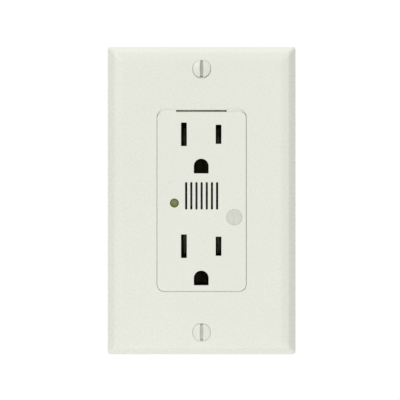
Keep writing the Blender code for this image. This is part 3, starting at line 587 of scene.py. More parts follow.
IVORY = (0.80, 0.815, 0.728)
FACE_PLASTIC = ivory("face_plastic", IVORY, 0.30)
PLATE_PLASTIC = ivory("plate_plastic", IVORY, 0.27)
DISC_PLASTIC = ivory("disc_plastic", (0.665, 0.675, 0.60), 0.38, 0.03, 500)
# near-black guides and seal: painted shade that makes the blade slots, ground holes and grille slots look
# dark
GUIDE_SHADE = moulded("guide_shade", (0.055, 0.055, 0.036), 0.6, 0.01)
SEAL_SHADE = moulded("seal_shade", (0.007, 0.007, 0.006), 0.75, 0.01)
HOUSING_PLASTIC = moulded("housing_plastic", (0.055, 0.058, 0.062), 0.48)
SCREW_PAINT = painted("screw_paint", (0.78, 0.79, 0.715), 0.3, (0.55, 0.54, 0.50))
# painted shade: the slots are coloured darker than the heads' paint, the upper screw's slot darker than the
# lower's
SLOT_SHADE = {
    "upper": painted("slot_shade_upper", (0.64, 0.645, 0.58), 0.45, (0.60, 0.59, 0.55)),
    "lower": painted("slot_shade_lower", (0.74, 0.75, 0.68), 0.45, (0.66, 0.65, 0.61)),
}
GROUND_PAINT = painted("ground_paint", (0.02, 0.20, 0.06), 0.3, (0.45, 0.40, 0.22))
STRAP_ZINC = plated("strap_zinc", (0.62, 0.63, 0.64), 0.34, (0.15, 1, 1))
SCREW_ZINC = plated("screw_zinc", (0.66, 0.66, 0.64), 0.30)
BRASS = plated("screw_brass", (0.83, 0.60, 0.26), 0.26, dull=(0.66, 0.44, 0.18))
CONTACT_BRASS = plated("contact_brass", (0.72, 0.50, 0.22), 0.38, (1, 1, 0.2), dull=(0.50, 0.32, 0.14))
# blade and ground contacts darker than the brass: painted shade for what shows through the slots and holes
BLADE_SHADE_BRONZE = plated("blade_shade_bronze", (0.46, 0.46, 0.27), 0.5, (1, 1, 0.2), dull=(0.32, 0.32, 0.18))
GROUND_SHADE_BRONZE = plated("ground_shade_bronze", (0.17, 0.165, 0.085), 0.55, (1, 1, 0.2), dull=(0.11, 0.11, 0.055))
CLIP_BRONZE = plated("clip_bronze", (0.75, 0.47, 0.26), 0.3, (0.2, 1, 1), dull=(0.55, 0.32, 0.17))
NICKEL = plated("nickel_plate", (0.74, 0.71, 0.66), 0.22)
RETAINER_FIBRE = fibre("retainer_fibre", (0.28, 0.17, 0.09))
BOARD_MASK = board("board_mask", (0.015, 0.13, 0.045))
VARISTOR_RESIN = resin("varistor_resin", (0.02, 0.08, 0.32), 0.3)
FILM_RESIN = resin("film_resin", (0.72, 0.50, 0.05), 0.35, 0.02)
BLACK_RESIN = resin("black_resin", (0.015, 0.015, 0.016), 0.42, 0.01)
BEIGE_RESIN = resin("beige_resin", (0.55, 0.42, 0.27), 0.45)
SPACER_NYLON = moulded("spacer_nylon", (0.70, 0.70, 0.64), 0.45, 0.01)


def lens_finish():
    """Green epoxy lens, unlit."""
    made = Finish("lamp_lens", (0.16, 0.19, 0.04), 0.16, IOR=1.5)
    made.shader.inputs["Coat Weight"].default_value = 0.2
    made.shader.inputs["Coat Roughness"].default_value = 0.08
    made.tint(made.noise(900, 2), (0.145, 0.165, 0.035), (0.19, 0.215, 0.06))
    made.gloss(made.noise(700, 2), 0.10, 0.18)
    made.bump(made.noise(900, 1), 0.01)
    return made.material


LENS = lens_finish()


def settle(obj, angle, body, slot, *nodes, width=0.0):
    """Softens a finished piece, gives it its body and hides the nodes that it replaces. Its slot is not
    used.
    """
    soften(obj, width, angle)
    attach(obj, body)
    if nodes:
        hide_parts(*nodes)


# Wall plate


def plate_profile():
    """(inset from the outer edge, depth) from the wall to the flat front."""
    depth = -box_mm("wall_plate")[0].y
    corners = [(0.12, 0), (0, -0.3), (0.15, -1.7), (2.75, -4.75), (5.6, -depth), (7.5, -depth)]
    return rounded(corners, [0, 0.1, 1.2, 2.6, 9.0, 0], 7)


def wall_plate():
    low, high = box_mm("wall_plate")
    front, inside, rim = low.y, low.y + 2.3, 2.2

    def sections(profile, corner, steps):
        return [
            (depth, rectangle(low.x + step, high.x - step, low.z + step, high.z - step, corner, steps))
            for step, depth in profile
        ]

    plate = loft("wall_plate_moulding", sections(plate_profile(), 1.15, 6), PLATE_PLASTIC)
    profile = rounded([(rim, 1.0), (rim, -1.3), (4.3, inside), (8, inside)], [0, 0.8, 1.0, 0], 5)
    carve(plate, loft("hollow", sections(profile, 1.4, 4)))
    pieces = []
    for side in SIDES:
        for z in (-44, -22, 0, 22, 44):
            span = mirrored(side, 18.5, 31.2)
            pieces.append(block(f"rib_{side}_{z}", span, (inside - 0.4, -1.9), (z - 0.5, z + 0.5), 0.1))
    boss = [(0, 0), (2.6, 0), (2.85, -0.3), (2.95, -2.2), (0, -2.2)]
    for level, end in ENDS:
        pieces.append(lathe(f"boss_{level}", boss, (0, -1.5, end * PLATE_SCREW_Z), REAR))
    weld(plate, *pieces)

    def opening(grown):
        half, bottom, top = OPENING
        return rectangle(-half - grown, half + grown, bottom - grown, top + grown * 0.1, 2.6 + grown, 8)

    cutters = [rolled_cutter("opening", opening, front, 1.0, 0.22)]
    # the upper screw sits high in its hole, so a gap shows under it
    for x, z, radius in ((0.05, PLATE_SCREW_Z - 0.19, 3.48), (0.0, -PLATE_SCREW_Z, 3.36)):
        lip = [(0.20, 1.0), (0.20, 0.0), (0.13, -0.01), (0.05, -0.05), (0.0, -0.13)]
        cone = [(radius + grown, height) for grown, height in lip]
        profile = [(0, 1.0), *cone, (2.0, -1.95), (1.95, -2.1), (1.95, -7.0), (0, -7.0)]
        cutters.append(lathe(f"countersink_{z:.0f}", profile, (x, front, z), FRONT, steps=64))
    carve(plate, *cutters)
    settle(plate, 28, RECEPTACLE, "white_plastic", "wall_plate")


# Screws


def slotted(obj, seat, axis, width, depth, top, turn, *finishes):
    """Cuts a screwdriver slot, its edges slightly rounded, across the head."""
    reach, roll = 6.0, 0.08
    floor, half = top - depth, width / 2
    lip, above = half + roll * 3, top + 3
    outline = rounded(
        [(-lip, above), (-lip, top), (-half, top - roll * 2), (-half, floor),
         (half, floor), (half, top - roll * 2), (lip, top), (lip, above)],
        [0, roll, roll * 2, 0.1, 0.1, roll * 2, roll, 0], 3,
    )
    spin = on_axis(seat, axis, turn)
    bm = bmesh.new()
    ends = [[bm.verts.new(spin @ Vector((u, side, v))) for u, v in outline] for side in (-reach, reach)]
    enclose(bm, ends)
    return carve(obj, new_object("slot", bm, *finishes))


def shank(major, length, tip, pitch, top=0.0):
    """Profile points down a threaded shank, close enough together to carry its thread."""
    count = max(2, int((length - tip - top) / pitch * 8))
    straight = [(major, -top - (length - tip - top) * i / count) for i in range(count + 1)]
    return [*straight, (major * 0.62, -length + 0.05), (major * 0.5, -length), (0, -length)]


def plate_screws():
    """Oval heads in their countersinks, painted down to where the plate hides them."""
    front, rim, dome = box_mm("wall_plate")[0].y, 3.26, 0.62
    sphere = (rim**2 + dome**2) / (2 * dome)
    turns = [math.asin(rim / sphere) * i / 10 for i in range(11)]
    crown = [(sphere * math.sin(a), dome - sphere * (1 - math.cos(a))) for a in turns]
    crown = crown[:-1] + [(rim - 0.04, 0.03), (rim, -0.02), (rim - 0.02, -0.08)]
    cone = [(1.75, -1.75), (1.72, -1.85)]
    threaded = [(r, h - 1.85) for r, h in shank(1.72, 10.85, 0.7, THREAD_PITCH)]
    for level, end in ENDS:
        seat = (0, front, end * PLATE_SCREW_Z)
        made = lathe(
            f"plate_screw_{level}_head", [*crown, *cone, *threaded], seat, FRONT, SCREW_PAINT, SCREW_ZINC,
            steps=64, thread=(THREAD_PITCH, 0.34, -2.6, -12.0), bare_below=-1.8,
        )
        # the slot's walls and floor carry that painted shade
        slotted(made, seat, FRONT, 1.12, 1.4, dome, 0, SLOT_SHADE[level])
        settle(made, 40, f"{level}_plate_screw", "white_paint", f"plate_screw_{level}")


def machine_screw(name, node, body, slot, finish, seat, axis, head, major, length, cut, turn,
                  pitch=THREAD_PITCH, depth=0.36, steps=48):
    """Screw with a turned head; cut is the slot's (width, depth, top of the head)."""
    profile = [*head, *shank(major, length, 0.7, pitch)]
    made = lathe(name, profile, seat, axis, finish, steps=steps, thread=(pitch, depth, -0.4, 0.3 - length))
    slotted(made, seat, axis, *cut, turn)
    settle(made, 40, body, slot, node)


def box_screws():
    points = [(0, 1.5), (2.5, 1.47), (3.45, 0.95), (3.6, 0.1), (3.55, 0), (1.7, 0)]
    head = rounded(points, [0, 3, 0.5, 0.06, 0.05, 0], 5)
    for (level, end), turn in zip(ENDS, (35, 110)):
        node = f"device_screw_{level}"
        seat = (0, -1.5, end * BOX_SCREW_Z)
        machine_screw(f"{node}_pan", node, f"{level}_box_screw", "zinc_steel", SCREW_ZINC, seat, FRONT,
                      head, 1.7, 25.35, (1.1, 0.8, 1.5), turn)


def terminal_screws():
    points = [(0, 2.3), (2.2, 2.22), (3.35, 1.6), (3.7, 0.85), (3.7, 0.1), (3.62, 0), (2.0, 0)]
    head = rounded(points, [0, 3, 0.6, 0.2, 0.08, 0.05, 0], 5)
    for (pole, side), finish, slot in zip(POLES, (BRASS, NICKEL), ("brass", "nickel")):
        for (level, end), turn in zip(ENDS, (15, 70)):
            node = f"{pole}_screw_{level}"
            seat = (side * 19.7, TERMINAL_Y, end * TERMINAL_Z)
            machine_screw(f"{node}_binding", node, f"{pole}_{level}_screw", slot, finish, seat,
                          (side, 0, 0), head, 2.05, 4.85, (1.2, 1.2, 2.3), turn)


def ground_screw():
    """Green washer-faced hexagon head."""
    seat, axis, turn = (-20.3, *GROUND_SCREW), (-1, 0, 0), 20
    washer = [(0, 0.9), (3.9, 0.9), (4.08, 0.75), (4.1, 0.1), (4.02, 0), (2.0, 0)]
    profile = [*washer, *shank(2.05, 2.7, 0.5, THREAD_PITCH)]
    made = lathe("ground_screw_hex", profile, seat, axis, GROUND_PAINT,
                 steps=60, thread=(THREAD_PITCH, 0.36, -0.4, -2.4))
    spin = on_axis(seat, axis, turn)
    bm = bmesh.new()
    rings = []
    for height, across in ((0.5, 3.95), (2.15, 3.95), (2.3, 3.86), (2.4, 3.5)):
        hexagon = rounded(circle(0, 0, across, 6), 0.25, 3, True)
        rings.append([bm.verts.new(spin @ Vector((u, v, height))) for u, v in hexagon])
    enclose(bm, rings)
    weld(made, new_object("hexagon", bm))
    slotted(made, seat, axis, 1.2, 1.2, 2.4, turn)
    settle(made, 35, "ground_terminal_screw", "green_paint", "ground_screw")


def housing_screws():
    points = [(0, 1.4), (1.6, 1.36), (2.2, 0.8), (2.3, 0.08), (2.25, 0), (1.1, 0)]
    head = rounded(points, [0, 2, 0.4, 0.05, 0.05, 0], 4)
    for column, side, turns in (("left", -1, (20, 130)), ("right", 1, (65, 90))):
        for (row, end), turn in zip(ENDS, turns):
            node = f"housing_screw_{row}_{column}"
            seat = (side * COLUMN[0], 29.6, end * COLUMN[1])
            machine_screw(f"{node}_pan", node, RECEPTACLE, "zinc_steel", SCREW_ZINC, seat, REAR,
                          head, 1.15, 32.4, (0.8, 0.7, 1.4), turn, 1.1, 0.25, 24)


# Face


def ground_hole(z):
    def outline(grown):
        radius, x = GROUND_RADIUS + grown, OUTLET_X
        corners = [(x - radius, z), (x - radius, z - radius), (x + radius, z - radius), (x + radius, z)]
        return arc((x, z), radius, 0, 180, 24)[:-1] + rounded(corners, [0, 0.25, 0.25, 0], 3)[:-1]

    return outline


def upright_slot(x, z, height):
    return lambda grown: around(x, z, BLADE_WIDTH + 2 * grown, height + 2 * grown, 0.2 + grown, 5)


def grille_slot(i):
    x = (i - (GRILLE_COUNT - 1) / 2) * GRILLE_PITCH
    return lambda grown: stadium(x, GRILLE_Z, GRILLE_WIDTH + 2 * grown, GRILLE_HEIGHT + 2 * grown, 8)


def round_hole(x, z, radius, steps):
    return lambda grown: circle(x, z, radius + grown, steps)


def outlet_holes():
    """Outline functions for the blade slots and ground holes of both outlets."""
    holes = []
    for z in BLADE_Z:
        holes.append(upright_slot(OUTLET_X - BLADE_X, z, NEUTRAL_HEIGHT))
        holes.append(upright_slot(OUTLET_X + BLADE_X, z, LINE_HEIGHT))
        holes.append(ground_hole(z - GROUND_DROP))
    return holes


def face():
    front = FACE_FRONT
    half, bottom, top = OPENING[0] - 0.10, OPENING[1] + 0.09, OPENING[2] - 0.015
    edge, wall_front, rear = 0.30, front + 2.5, -1.5
    lip, corner = OPENING[2] - 0.70, 2.35

    def outline(step):
        return rectangle(-half + step, half - step, bottom + step, top - step * 0.4, 2.58 - step, 8)

    sections = [(rear, outline(0))]
    for k in range(6):
        turn = math.radians(90 * k / 5)
        sections.append((front + edge * (1 - math.sin(turn)), outline(edge * (1 - math.cos(turn)))))
    made = loft("face_moulding", sections, FACE_PLASTIC)
    flange = [
        (-18.75, -31.8), (-15.75, -34.8), (-9.5, -34.8), (-9.5, bottom), (9.5, bottom), (9.5, -34.8),
        (15.75, -34.8), (18.75, -31.8), (18.75, 31.8), (15.75, 34.8), (9.5, 34.8), (9.5, lip - 0.5),
        (-9.5, lip - 0.5), (-9.5, 34.8), (-15.75, 34.8), (-18.75, 31.8),
    ]
    weld(made, slab("flange", [flange], (-3.0, rear), 0.12))
    hollow = rectangle(-half + 1.7, half - 1.7, bottom + 1.7, top - 1.7, 1.0)
    # a notch over the strap's neck shows as a dark slit above the face
    ahead, floor = front - 1, lip - 0.25
    roll = rounded(
        [(ahead, floor), (front, floor), (front + 0.25, lip), (-1.4, lip), (-1.4, 40), (ahead, 40)],
        [0, 0.2, 0.2, 0, 0, 0], 5,
    )
    notch = slab("notch", [roll], (-9.35, 9.15), 0, axes=(REAR, UP, RIGHT))
    carve(made, slab("hollow", [hollow], (wall_front, 0), 0), notch)
    # fine grooves round the upper corners, the right one running on as a faint line to the notch
    grooves = [block("line", (9.0, 14.6), (ahead, front + 0.14), (lip - 0.03, lip + 0.06), 0.04)]
    for side, start, end in ((-1, 184, 118), (1, -4, 74)):
        centre = (side * (half - corner), lip - corner)
        path = arc(centre, corner + 0.11, start, end, 12) + arc(centre, corner, end, start, 12)
        grooves.append(slab(f"groove_{side}", [path], (ahead, front + 1.1), 0))
    carve(made, *grooves)
    boss = [(0, 0), (1.4, 0), (2.3, -0.1), (2.4, -0.3), (2.4, -2.6), (0, -2.6)]
    weld(made, *[lathe(f"boss_{x:.0f}_{z:.0f}", boss, (x, rear, z), REAR) for x, z in CORNERS])
    cutters = [rolled_cutter(f"hole_{i}", hole, front, 1.0, 0.06) for i, hole in enumerate(outlet_holes())]
    for i in range(GRILLE_COUNT):
        cutters.append(rolled_cutter(f"grille_{i}", grille_slot(i), front, 1.0, 0.03, 3))
    lamp_low, lamp_high = box_mm("pilot_lamp")
    lamp_hole = round_hole((lamp_low.x + lamp_high.x) / 2, (lamp_low.z + lamp_high.z) / 2, 1.64, 40)
    cutters.append(rolled_cutter("lamp_hole", lamp_hole, front, 1.0, 0.05))
    disc_seat = round_hole(*DISC, DISC_RADIUS, 48)
    cutters.append(rolled_cutter("disc_seat", disc_seat, front, front + 0.25, 0.05))
    for span in guide_spans():
        depth = (front + SKIN, wall_front + 0.5)
        cutters.append(block(f"pocket_{span[0]:.0f}", (-10.3, 10.3), depth, span, 0.5))
    cutters.append(block("seal_pocket", (-7.5, 7.5), (front + 0.5, wall_front + 0.5), GRILLE_SPAN, 0.8))
    carve(made, *cutters)
    settle(made, 28, RECEPTACLE, "white_plastic", "face_cover")


def guide_spans():
    """Lowest and highest z of the block behind each outlet."""
    return [(z - GROUND_DROP - GROUND_RADIUS - 0.6, z + NEUTRAL_HEIGHT / 2 + 0.6) for z in BLADE_Z]


def black_insert(name, half, depths, span, corner, finish, ways):
    """A black block behind the face, with ways cut through it: painted shade seen through the face's
    openings.
    """
    low_z, high_z = span
    made = block(name, (-half, half), depths, (low_z + 0.05, high_z - 0.05), corner, finish, edge=0.05)
    carve(made, *[slab(f"way_{i}", [way], (FACE_FRONT, 2.0), 0) for i, way in enumerate(ways)])
    settle(made, 30, RECEPTACLE, "black_resin")


def blade_guides():
    """Black blocks that guide the blades to the contacts. Their near-black is painted shade in the blade
    slots and ground holes.
    """
    depths = (FACE_FRONT + SKIN + 0.02, 0.6)
    for (level, _), span in zip(ENDS, guide_spans()):
        ways = [hole(0.0) for hole in outlet_holes() if span[0] < hole(0)[0][1] < span[1]]
        black_insert(f"blade_guide_{level}", 10.2, depths, span, 0.5, GUIDE_SHADE, ways)


def grille_seal():
    """Black seal that joins the grille's slots to the sounder. Its near-black is painted shade in those
    slots.
    """
    depths = (FACE_FRONT + 0.52, box_mm("alarm_sounder")[0].y - 0.05)
    ways = [grille_slot(i)(0) for i in range(GRILLE_COUNT)]
    black_insert("grille_seal", 7.4, depths, GRILLE_SPAN, 0.8, SEAL_SHADE, ways)


def face_disc():
    """Plain round disc, set almost flush in a fine groove, with a shallow flute down its middle."""
    edge, bevel, seat = DISC_RADIUS - 0.07, 0.42, FACE_FRONT + 0.22
    steps, rings = 96, 24

    def height(x, z):
        fall = max(0.0, (math.hypot(x, z) - edge + bevel) / bevel)
        flute = 0.17 * math.exp(-(((x + 0.1 + 0.17 * z) / 0.42) ** 2))
        return (0.19 - flute) * (1 - fall) + 0.03 * fall * (2 - fall)

    bm = bmesh.new()

    def point(x, z, rise):
        return bm.verts.new((DISC[0] + x, seat - rise, DISC[1] + z))

    centre = point(0, 0, height(0, 0))
    circles = []
    for k in range(1, rings + 1):
        circles.append([point(x, z, height(x, z)) for x, z in circle(0, 0, edge * k / rings, steps)])
    circles.append([point(x, z, 0) for x, z in circle(0, 0, edge, steps)])
    for i in range(steps):
        j = (i + 1) % steps
        bm.faces.new((centre, circles[0][i], circles[0][j]))
        for near, far in zip(circles, circles[1:]):
            bm.faces.new((near[i], far[i], far[j], near[j]))
    bm.faces.new(reversed(circles[-1]))
    made = new_object("face_disc", bm, DISC_PLASTIC)
    settle(made, 45, RECEPTACLE, "white_plastic")


def lamp():
    """Round-nosed lamp with its flange and its two leads."""
    low, high = box_mm("pilot_lamp")
    x, z = (low.x + high.x) / 2, (low.z + high.z) / 2
    base, tip, radius = -0.9, low.y + 0.02, 1.60
    height = base - tip
    turns = [math.pi / 2 * i / 12 for i in range(13)]
    dome = [(radius * math.sin(a) ** 0.95, height - 0.62 * (1 - math.cos(a)) - 0.10) for a in turns]
    profile = [*dome, (radius, 1.0), (1.72, 0.98), (1.88, 0.9), (1.9, 0.8), (1.9, 0.08), (1.84, 0), (0, 0)]
    made = lathe("pilot_lamp_lens", profile, (x, base, z), FRONT, LENS, steps=48)
    settle(made, 40, RECEPTACLE, "green_lens", "pilot_lamp")
    for side in SIDES:
        wire = around(x + side * 1.27, z, 0.5, 0.5, 0.06, 2)
        leg = slab(f"pilot_lamp_lead_{side + 1}", [wire], (base - 0.2, 15.9), 0.05, SCREW_ZINC)
        settle(leg, 40, RECEPTACLE, "zinc_steel")


# Strap and what is fixed to it


def strap():
    """Stamped steel yoke with scored, break-off ears and a tab bent back for the ground screw."""
    end, ear, half, neck = 52.8, 17.0, 20.0, 9.5
    body_end, start = 33.4, 39.2
    quarter = [
        (half, 0), (half, body_end - 2), (half - 2, body_end - 0.4), (neck, body_end),
        (neck, start), (ear, start + 0.4), (ear, end), (0, end),
    ]
    radii = [0, 1.5, 1.0, 1.5, 2.0, 3.0, 4.0, 0]
    upper = rounded(quarter, radii, 6)
    right = [(u, -v) for u, v in reversed(upper)][1:-1] + upper[:-1]
    outline = right + [(-u, v) for u, v in reversed(right)]
    outline = list(dict.fromkeys((round(u, 4), round(v, 4)) for u, v in outline))
    window = rounded(
        [(15.5, -26.5), (15.5, 26.5), (10.4, 26.5), (10.4, 30.0), (-10.4, 30.0), (-10.4, 26.5),
         (-15.5, 26.5), (-15.5, -26.5), (-10.4, -26.5), (-10.4, -32.0), (10.4, -32.0), (10.4, -26.5)],
        0.8, 4, True,
    )
    holes = [window]
    for side in SIDES:
        holes.append(stadium(0, side * BOX_SCREW_Z, 8.0, 4.0))
        holes.append(circle(0, side * PLATE_SCREW_Z, 1.85, 32))
        holes.append(circle(0, side * RIVET_Z, 1.0, 20))
        for across in SIDES:
            holes.append(circle(across * 13.4, side * 46.3, 1.7, 28))
            holes.append(circle(across * COLUMN[0], side * COLUMN[1], 1.6, 20))
    made = slab("mounting_strap_steel", [outline, *holes], (-1.2, 0), 0.14, STRAP_ZINC)
    tab_path = rounded([(11.0, -19.4), (0.4, -19.4)], 0, 3)
    tab = slab("tab", [ribbon(tab_path, 1.2, 0.1)], (-31.4, -23.0), 0.14, STRAP_ZINC, axes=YX)
    weld(made, tab)
    cutters = [rod("tap", 2.15, 3, (-19.4, *GROUND_SCREW), RIGHT)]
    score = [(-0.35, -0.5), (0.35, -0.5), (0.0, 0.32)]
    for side in SIDES:
        for across in SIDES:
            line = [(u + across * 9.9, v - 1.2) for u, v in score]
            span = mirrored(side, start - 1, end + 1)
            cutters.append(slab(f"score_{side}_{across}", [line], span, 0, axes=(RIGHT, REAR, UP)))
    carve(made, *cutters)
    settle(made, 35, RECEPTACLE, "zinc_steel", "mounting_strap")


def retainers():
    for level, end in ENDS:
        node = f"screw_retainer_{level}"
        z = end * BOX_SCREW_Z
        outline = around(0, z, 9.5, 5.8, 0.5, 3)
        made = slab(f"{node}_fibre", [outline, circle(0, z, 1.78, 28)], (0.3, 1.1), 0.1, RETAINER_FIBRE)
        settle(made, 35, f"{level}_box_screw_carriage", "brown_fibre", node)


def clip():
    path = [(0.5, -34.9), (0.5, -37.7), (1.8, -38.6), (1.8, -45.2), (0.9, -46.4)]
    made = slab("self_ground_clip_spring", [ribbon(path, 0.4, 0.7)], (-5, 5), 0.08, CLIP_BRONZE, axes=YZ)
    eye = slab("eye", [stadium(0, -BOX_SCREW_Z, 8.0, 4.0)], (-1, 4), 0)
    fixing = slab("fixing", [circle(0, -RIVET_Z, 1.0, 20)], (-1, 4), 0)
    carve(made, eye, fixing)
    settle(made, 35, RECEPTACLE, "brass", "self_ground_clip")


def rivets():
    for node, z, rear in (("clip_rivet", -RIVET_Z, 1.3), ("ground_rivet", RIVET_Z, 1.4)):
        front, points = -1.5, [(0, 0.6), (1.0, 0.58), (1.38, 0.3), (1.4, 0.0), (0.7, 0)]
        reach = front - rear
        head = rounded(points, [0, 0.8, 0.4, 0.03, 0], 4)
        formed = [(r, reach - h) for r, h in reversed(head)]
        formed = formed[:-1] + [(0.45, reach - 0.58), (0.32, reach - 0.42), (0, reach - 0.38)]
        made = lathe(f"{node}_head", [*head, *formed], (0, front, z), FRONT, CONTACT_BRASS, steps=36)
        settle(made, 40, RECEPTACLE, "brass", node)


# Contacts and terminals


def spring(name, x, z, width, flare, pinch, root, mouth, throat, seat, floor, finish):
    """A U of spring metal that opens towards the front, with its edges turned outwards."""
    half = [(mouth, flare), (throat, pinch), (seat, root), (floor, root)]
    path = [(y, x - u) for y, u in half] + [(y, x + u) for y, u in reversed(half)]
    radii = [0, 2.5, 4.0, 0.8, 0.8, 4.0, 2.5, 0]
    outline = ribbon(rounded(path, radii, 5), 0.8, 0)
    return slab(name, [outline], (z - width / 2, z + width / 2), 0.08, finish, axes=YX)


def blade_contacts():
    for pole, side in POLES:
        outline = rectangle(5.5, 17.5, -19.0, 19.0, 1.0, 4)
        strip = mirrored(side, 17.0, 17.9)
        made = slab(f"{pole}_contacts_bus", [outline], strip, 0.1, CONTACT_BRASS, axes=YZ)
        web, length = (12.95, 13.85), (BLADE_Z[1] - 2.2, BLADE_Z[0] + 2.2)
        pieces = [
            block("bridge", mirrored(side, 13.8, 17.4), web, (-2.5, 2.5), 0.05, CONTACT_BRASS),
            block("bus", mirrored(side, 13.6, 14.4), (9.8, 14.1), length, 0.1, CONTACT_BRASS),
        ]
        for i, z in enumerate(BLADE_Z):
            # the springs' dark bronze is painted shade in the blade slots
            pieces.append(spring(f"spring_{i}", side * BLADE_X, z, 7.2, 1.9, 0.95, 1.35,
                                 1.2, 3.2, 8.0, 13.4, BLADE_SHADE_BRONZE))
            across = mirrored(side, BLADE_X + 1.0, 14.0)
            pieces.append(block(f"web_{i}", across, web, (z - 2.2, z + 2.2), 0.05, CONTACT_BRASS))
        weld(made, *pieces)
        taps = [
            rod(f"tap_{end}", 2.15, 3, (side * 17.4, TERMINAL_Y, end * TERMINAL_Z), RIGHT)
            for end in SIDES
        ]
        carve(made, *taps)
        settle(made, 35, RECEPTACLE, "brass", f"{pole}_contacts")


def ground_contacts():
    """Ground bus: a foot on the strap, a run behind both outlets, and a contact at each hole, coloured dark
    as painted shade.
    """
    path = [(0.7, 38.2), (0.7, 32.3), (15.1, 32.3), (15.1, BLADE_Z[1] - GROUND_DROP - 3.2)]
    bus = ribbon(path, 0.8, 0.9)
    made = slab("ground_contacts_bus", [bus], (-2.8, 2.8), 0.1, GROUND_SHADE_BRONZE, axes=YZ)
    springs = [
        spring(f"ground_spring_{i}", 0, z - GROUND_DROP, 6.0, 3.6, 2.65, 3.0,
               1.2, 3.8, 9.0, 15.2, GROUND_SHADE_BRONZE)
        for i, z in enumerate(BLADE_Z)
    ]
    weld(made, *springs)
    carve(made, rod("rivet_hole", 1.0, 2, (0, 0.7, RIVET_Z), REAR, 20))
    settle(made, 35, RECEPTACLE, "brass", "ground_contacts")


def clamps():
    """Square pressure plates with grooves across the side that grips the wire."""
    for pole, side in POLES:
        for level, end in ENDS:
            node = f"{pole}_clamp_{level}"
            z, inner = end * TERMINAL_Z, side * 18.2
            outlines = [around(TERMINAL_Y, z, 9.0, 9.0, 0.8, 4), circle(TERMINAL_Y, z, 2.2, 32)]
            made = slab(f"{node}_plate", outlines, mirrored(side, 18.2, 19.4), 0.12, SCREW_ZINC, axes=YZ)
            grooves = []
            for i in (-3, -2, -1, 1, 2, 3):
                centre, mouth = z + i * 1.25, inner - side * 0.3
                groove = [(mouth, centre - 0.5), (mouth, centre + 0.5), (inner + side * 0.22, centre)]
                grooves.append(slab(f"groove_{i}", [groove], (TERMINAL_Y - 6, TERMINAL_Y + 6), 0))
            carve(made, *grooves)
            settle(made, 30, f"{pole}_{level}_clamp", "zinc_steel", node)


# Rear housing


def housing():
    """Moulded rear body: terminal pockets, wire holes, recessed panels and a seam."""
    low, high = box_mm("rear_housing")
    corner, chamfer = 2.5, 0.6
    corners = [(0.25, low.y), (0, low.y + 0.25), (0, high.y - chamfer), (chamfer, high.y), (4, high.y)]
    sections = []
    for step, depth in rounded(corners, [0, 0.15, 0.8, 0.8, 0], 5):
        sides = (low.x + step, high.x - step, low.z + step, high.z - step)
        sections.append((depth, rectangle(*sides, max(0.6, corner - step / 2), 6)))
    made = loft("rear_housing_shell", sections, HOUSING_PLASTIC)
    cavity = rectangle(-14.9, 14.9, -33.2, 33.2, 1.5, 4)
    carve(made, slab("cavity", [cavity], (-1, 28.3), 0))
    column = [(0, 15), (2.4, 15), (2.4, -14.9), (0, -14.9)]
    weld(made, *[lathe(f"column_{x:.0f}_{z:.0f}", column, (x, 15.4, z), REAR, steps=32) for x, z in CORNERS])
    cutters = [block("foot_notch", (-3.4, 3.4), (-1, 1.5), (32.2, 40), 0)]
    mouth = [(0, 3), (3.0, 3), (3.0, 0.05), (2.9, 0), (2.7, -0.2), (2.7, -2.0)]
    bore = [*mouth, (1.4, -2.0), (1.4, -40), (0, -40)]
    for x, z in CORNERS:
        cutters.append(lathe(f"bore_{x:.0f}_{z:.0f}", bore, (x, high.y, z), REAR, steps=40))
    pocket = rectangle(3.0, 20.5, -21.0, 21.0, 0.8, 4)
    funnel = [(0, 2), (1.95, 2), (1.95, 0.02), (1.85, 0), (1.3, -0.75), (1.3, -14), (0, -14)]
    for side in SIDES:
        cutters.append(slab(f"pocket_{side}", [pocket], mirrored(side, 16.6, 24), 0, axes=YZ))
        cutters.append(block(f"drop_in_{side}", mirrored(side, 16.5, 18.3), (-1, 4), (-19.5, 19.5), 0))
        cutters.append(block(f"bridge_slot_{side}", mirrored(side, 14, 17.2), (-2, 14.2), (-2.9, 2.9), 0))
        for end in SIDES:
            z = end * TERMINAL_Z
            cutters.append(rod(f"tip_{side}_{end}", 2.4, 3, (side * 16, TERMINAL_Y, z), RIGHT, 32))
            for step in SIDES:
                seat = (side * 18.6, high.y, z + step * 3.6)
                cutters.append(lathe(f"wire_{side}_{end}_{step}", funnel, seat, REAR, steps=32))
    ground_z = (GROUND_SCREW[1] - 5, GROUND_SCREW[1] + 5)
    cutters.append(block("ground_pocket", (-24, -17), (-1, 14.5), ground_z, 0.6))
    # panels sunk into the back and both ends, as in any thick moulding
    cutters.append(slab("rear_panel", [around(0, 0, 24, 44, 2.0)], (high.y - 0.4, high.y + 1), 0))
    end_panel = rectangle(-16, 16, 5.0, 26.0, 1.5)
    for end in SIDES:
        span = mirrored(end, high.z - 0.4, high.z + 1)
        cutters.append(slab(f"end_panel_{end}", [end_panel], span, 0, axes=(RIGHT, REAR, UP)))
    outer = rectangle(low.x - 1, high.x + 1, low.z - 1, high.z + 1, 1)
    inner = rectangle(low.x + 0.2, high.x - 0.2, low.z + 0.2, high.z - 0.2, corner)
    cutters.append(slab("seam", [outer, inner], (23.4, 23.7), 0))
    carve(made, *cutters)
    marks = []
    ejector = [(0, 0.1), (2.0, 0.1), (2.05, 0.05), (2.05, -1), (0, -1)]
    for x in (-9, 9):
        for z in (-18, 18):
            marks.append(lathe(f"ejector_{x}_{z}", ejector, (x, high.y - 0.4, z), REAR, steps=36))
    for z in (-12.0, -4.0, 4.0, 12.0):
        depths = (high.y - 1.0, high.y - 0.05)
        marks.append(block(f"rib_{z:.0f}", (-7, 7), depths, (z - 0.5, z + 0.5), 0.4))
    weld(made, *marks)
    settle(made, 40, RECEPTACLE, "grey_plastic", "rear_housing", width=0.12)


# The CAD pieces that stay are inside the housing


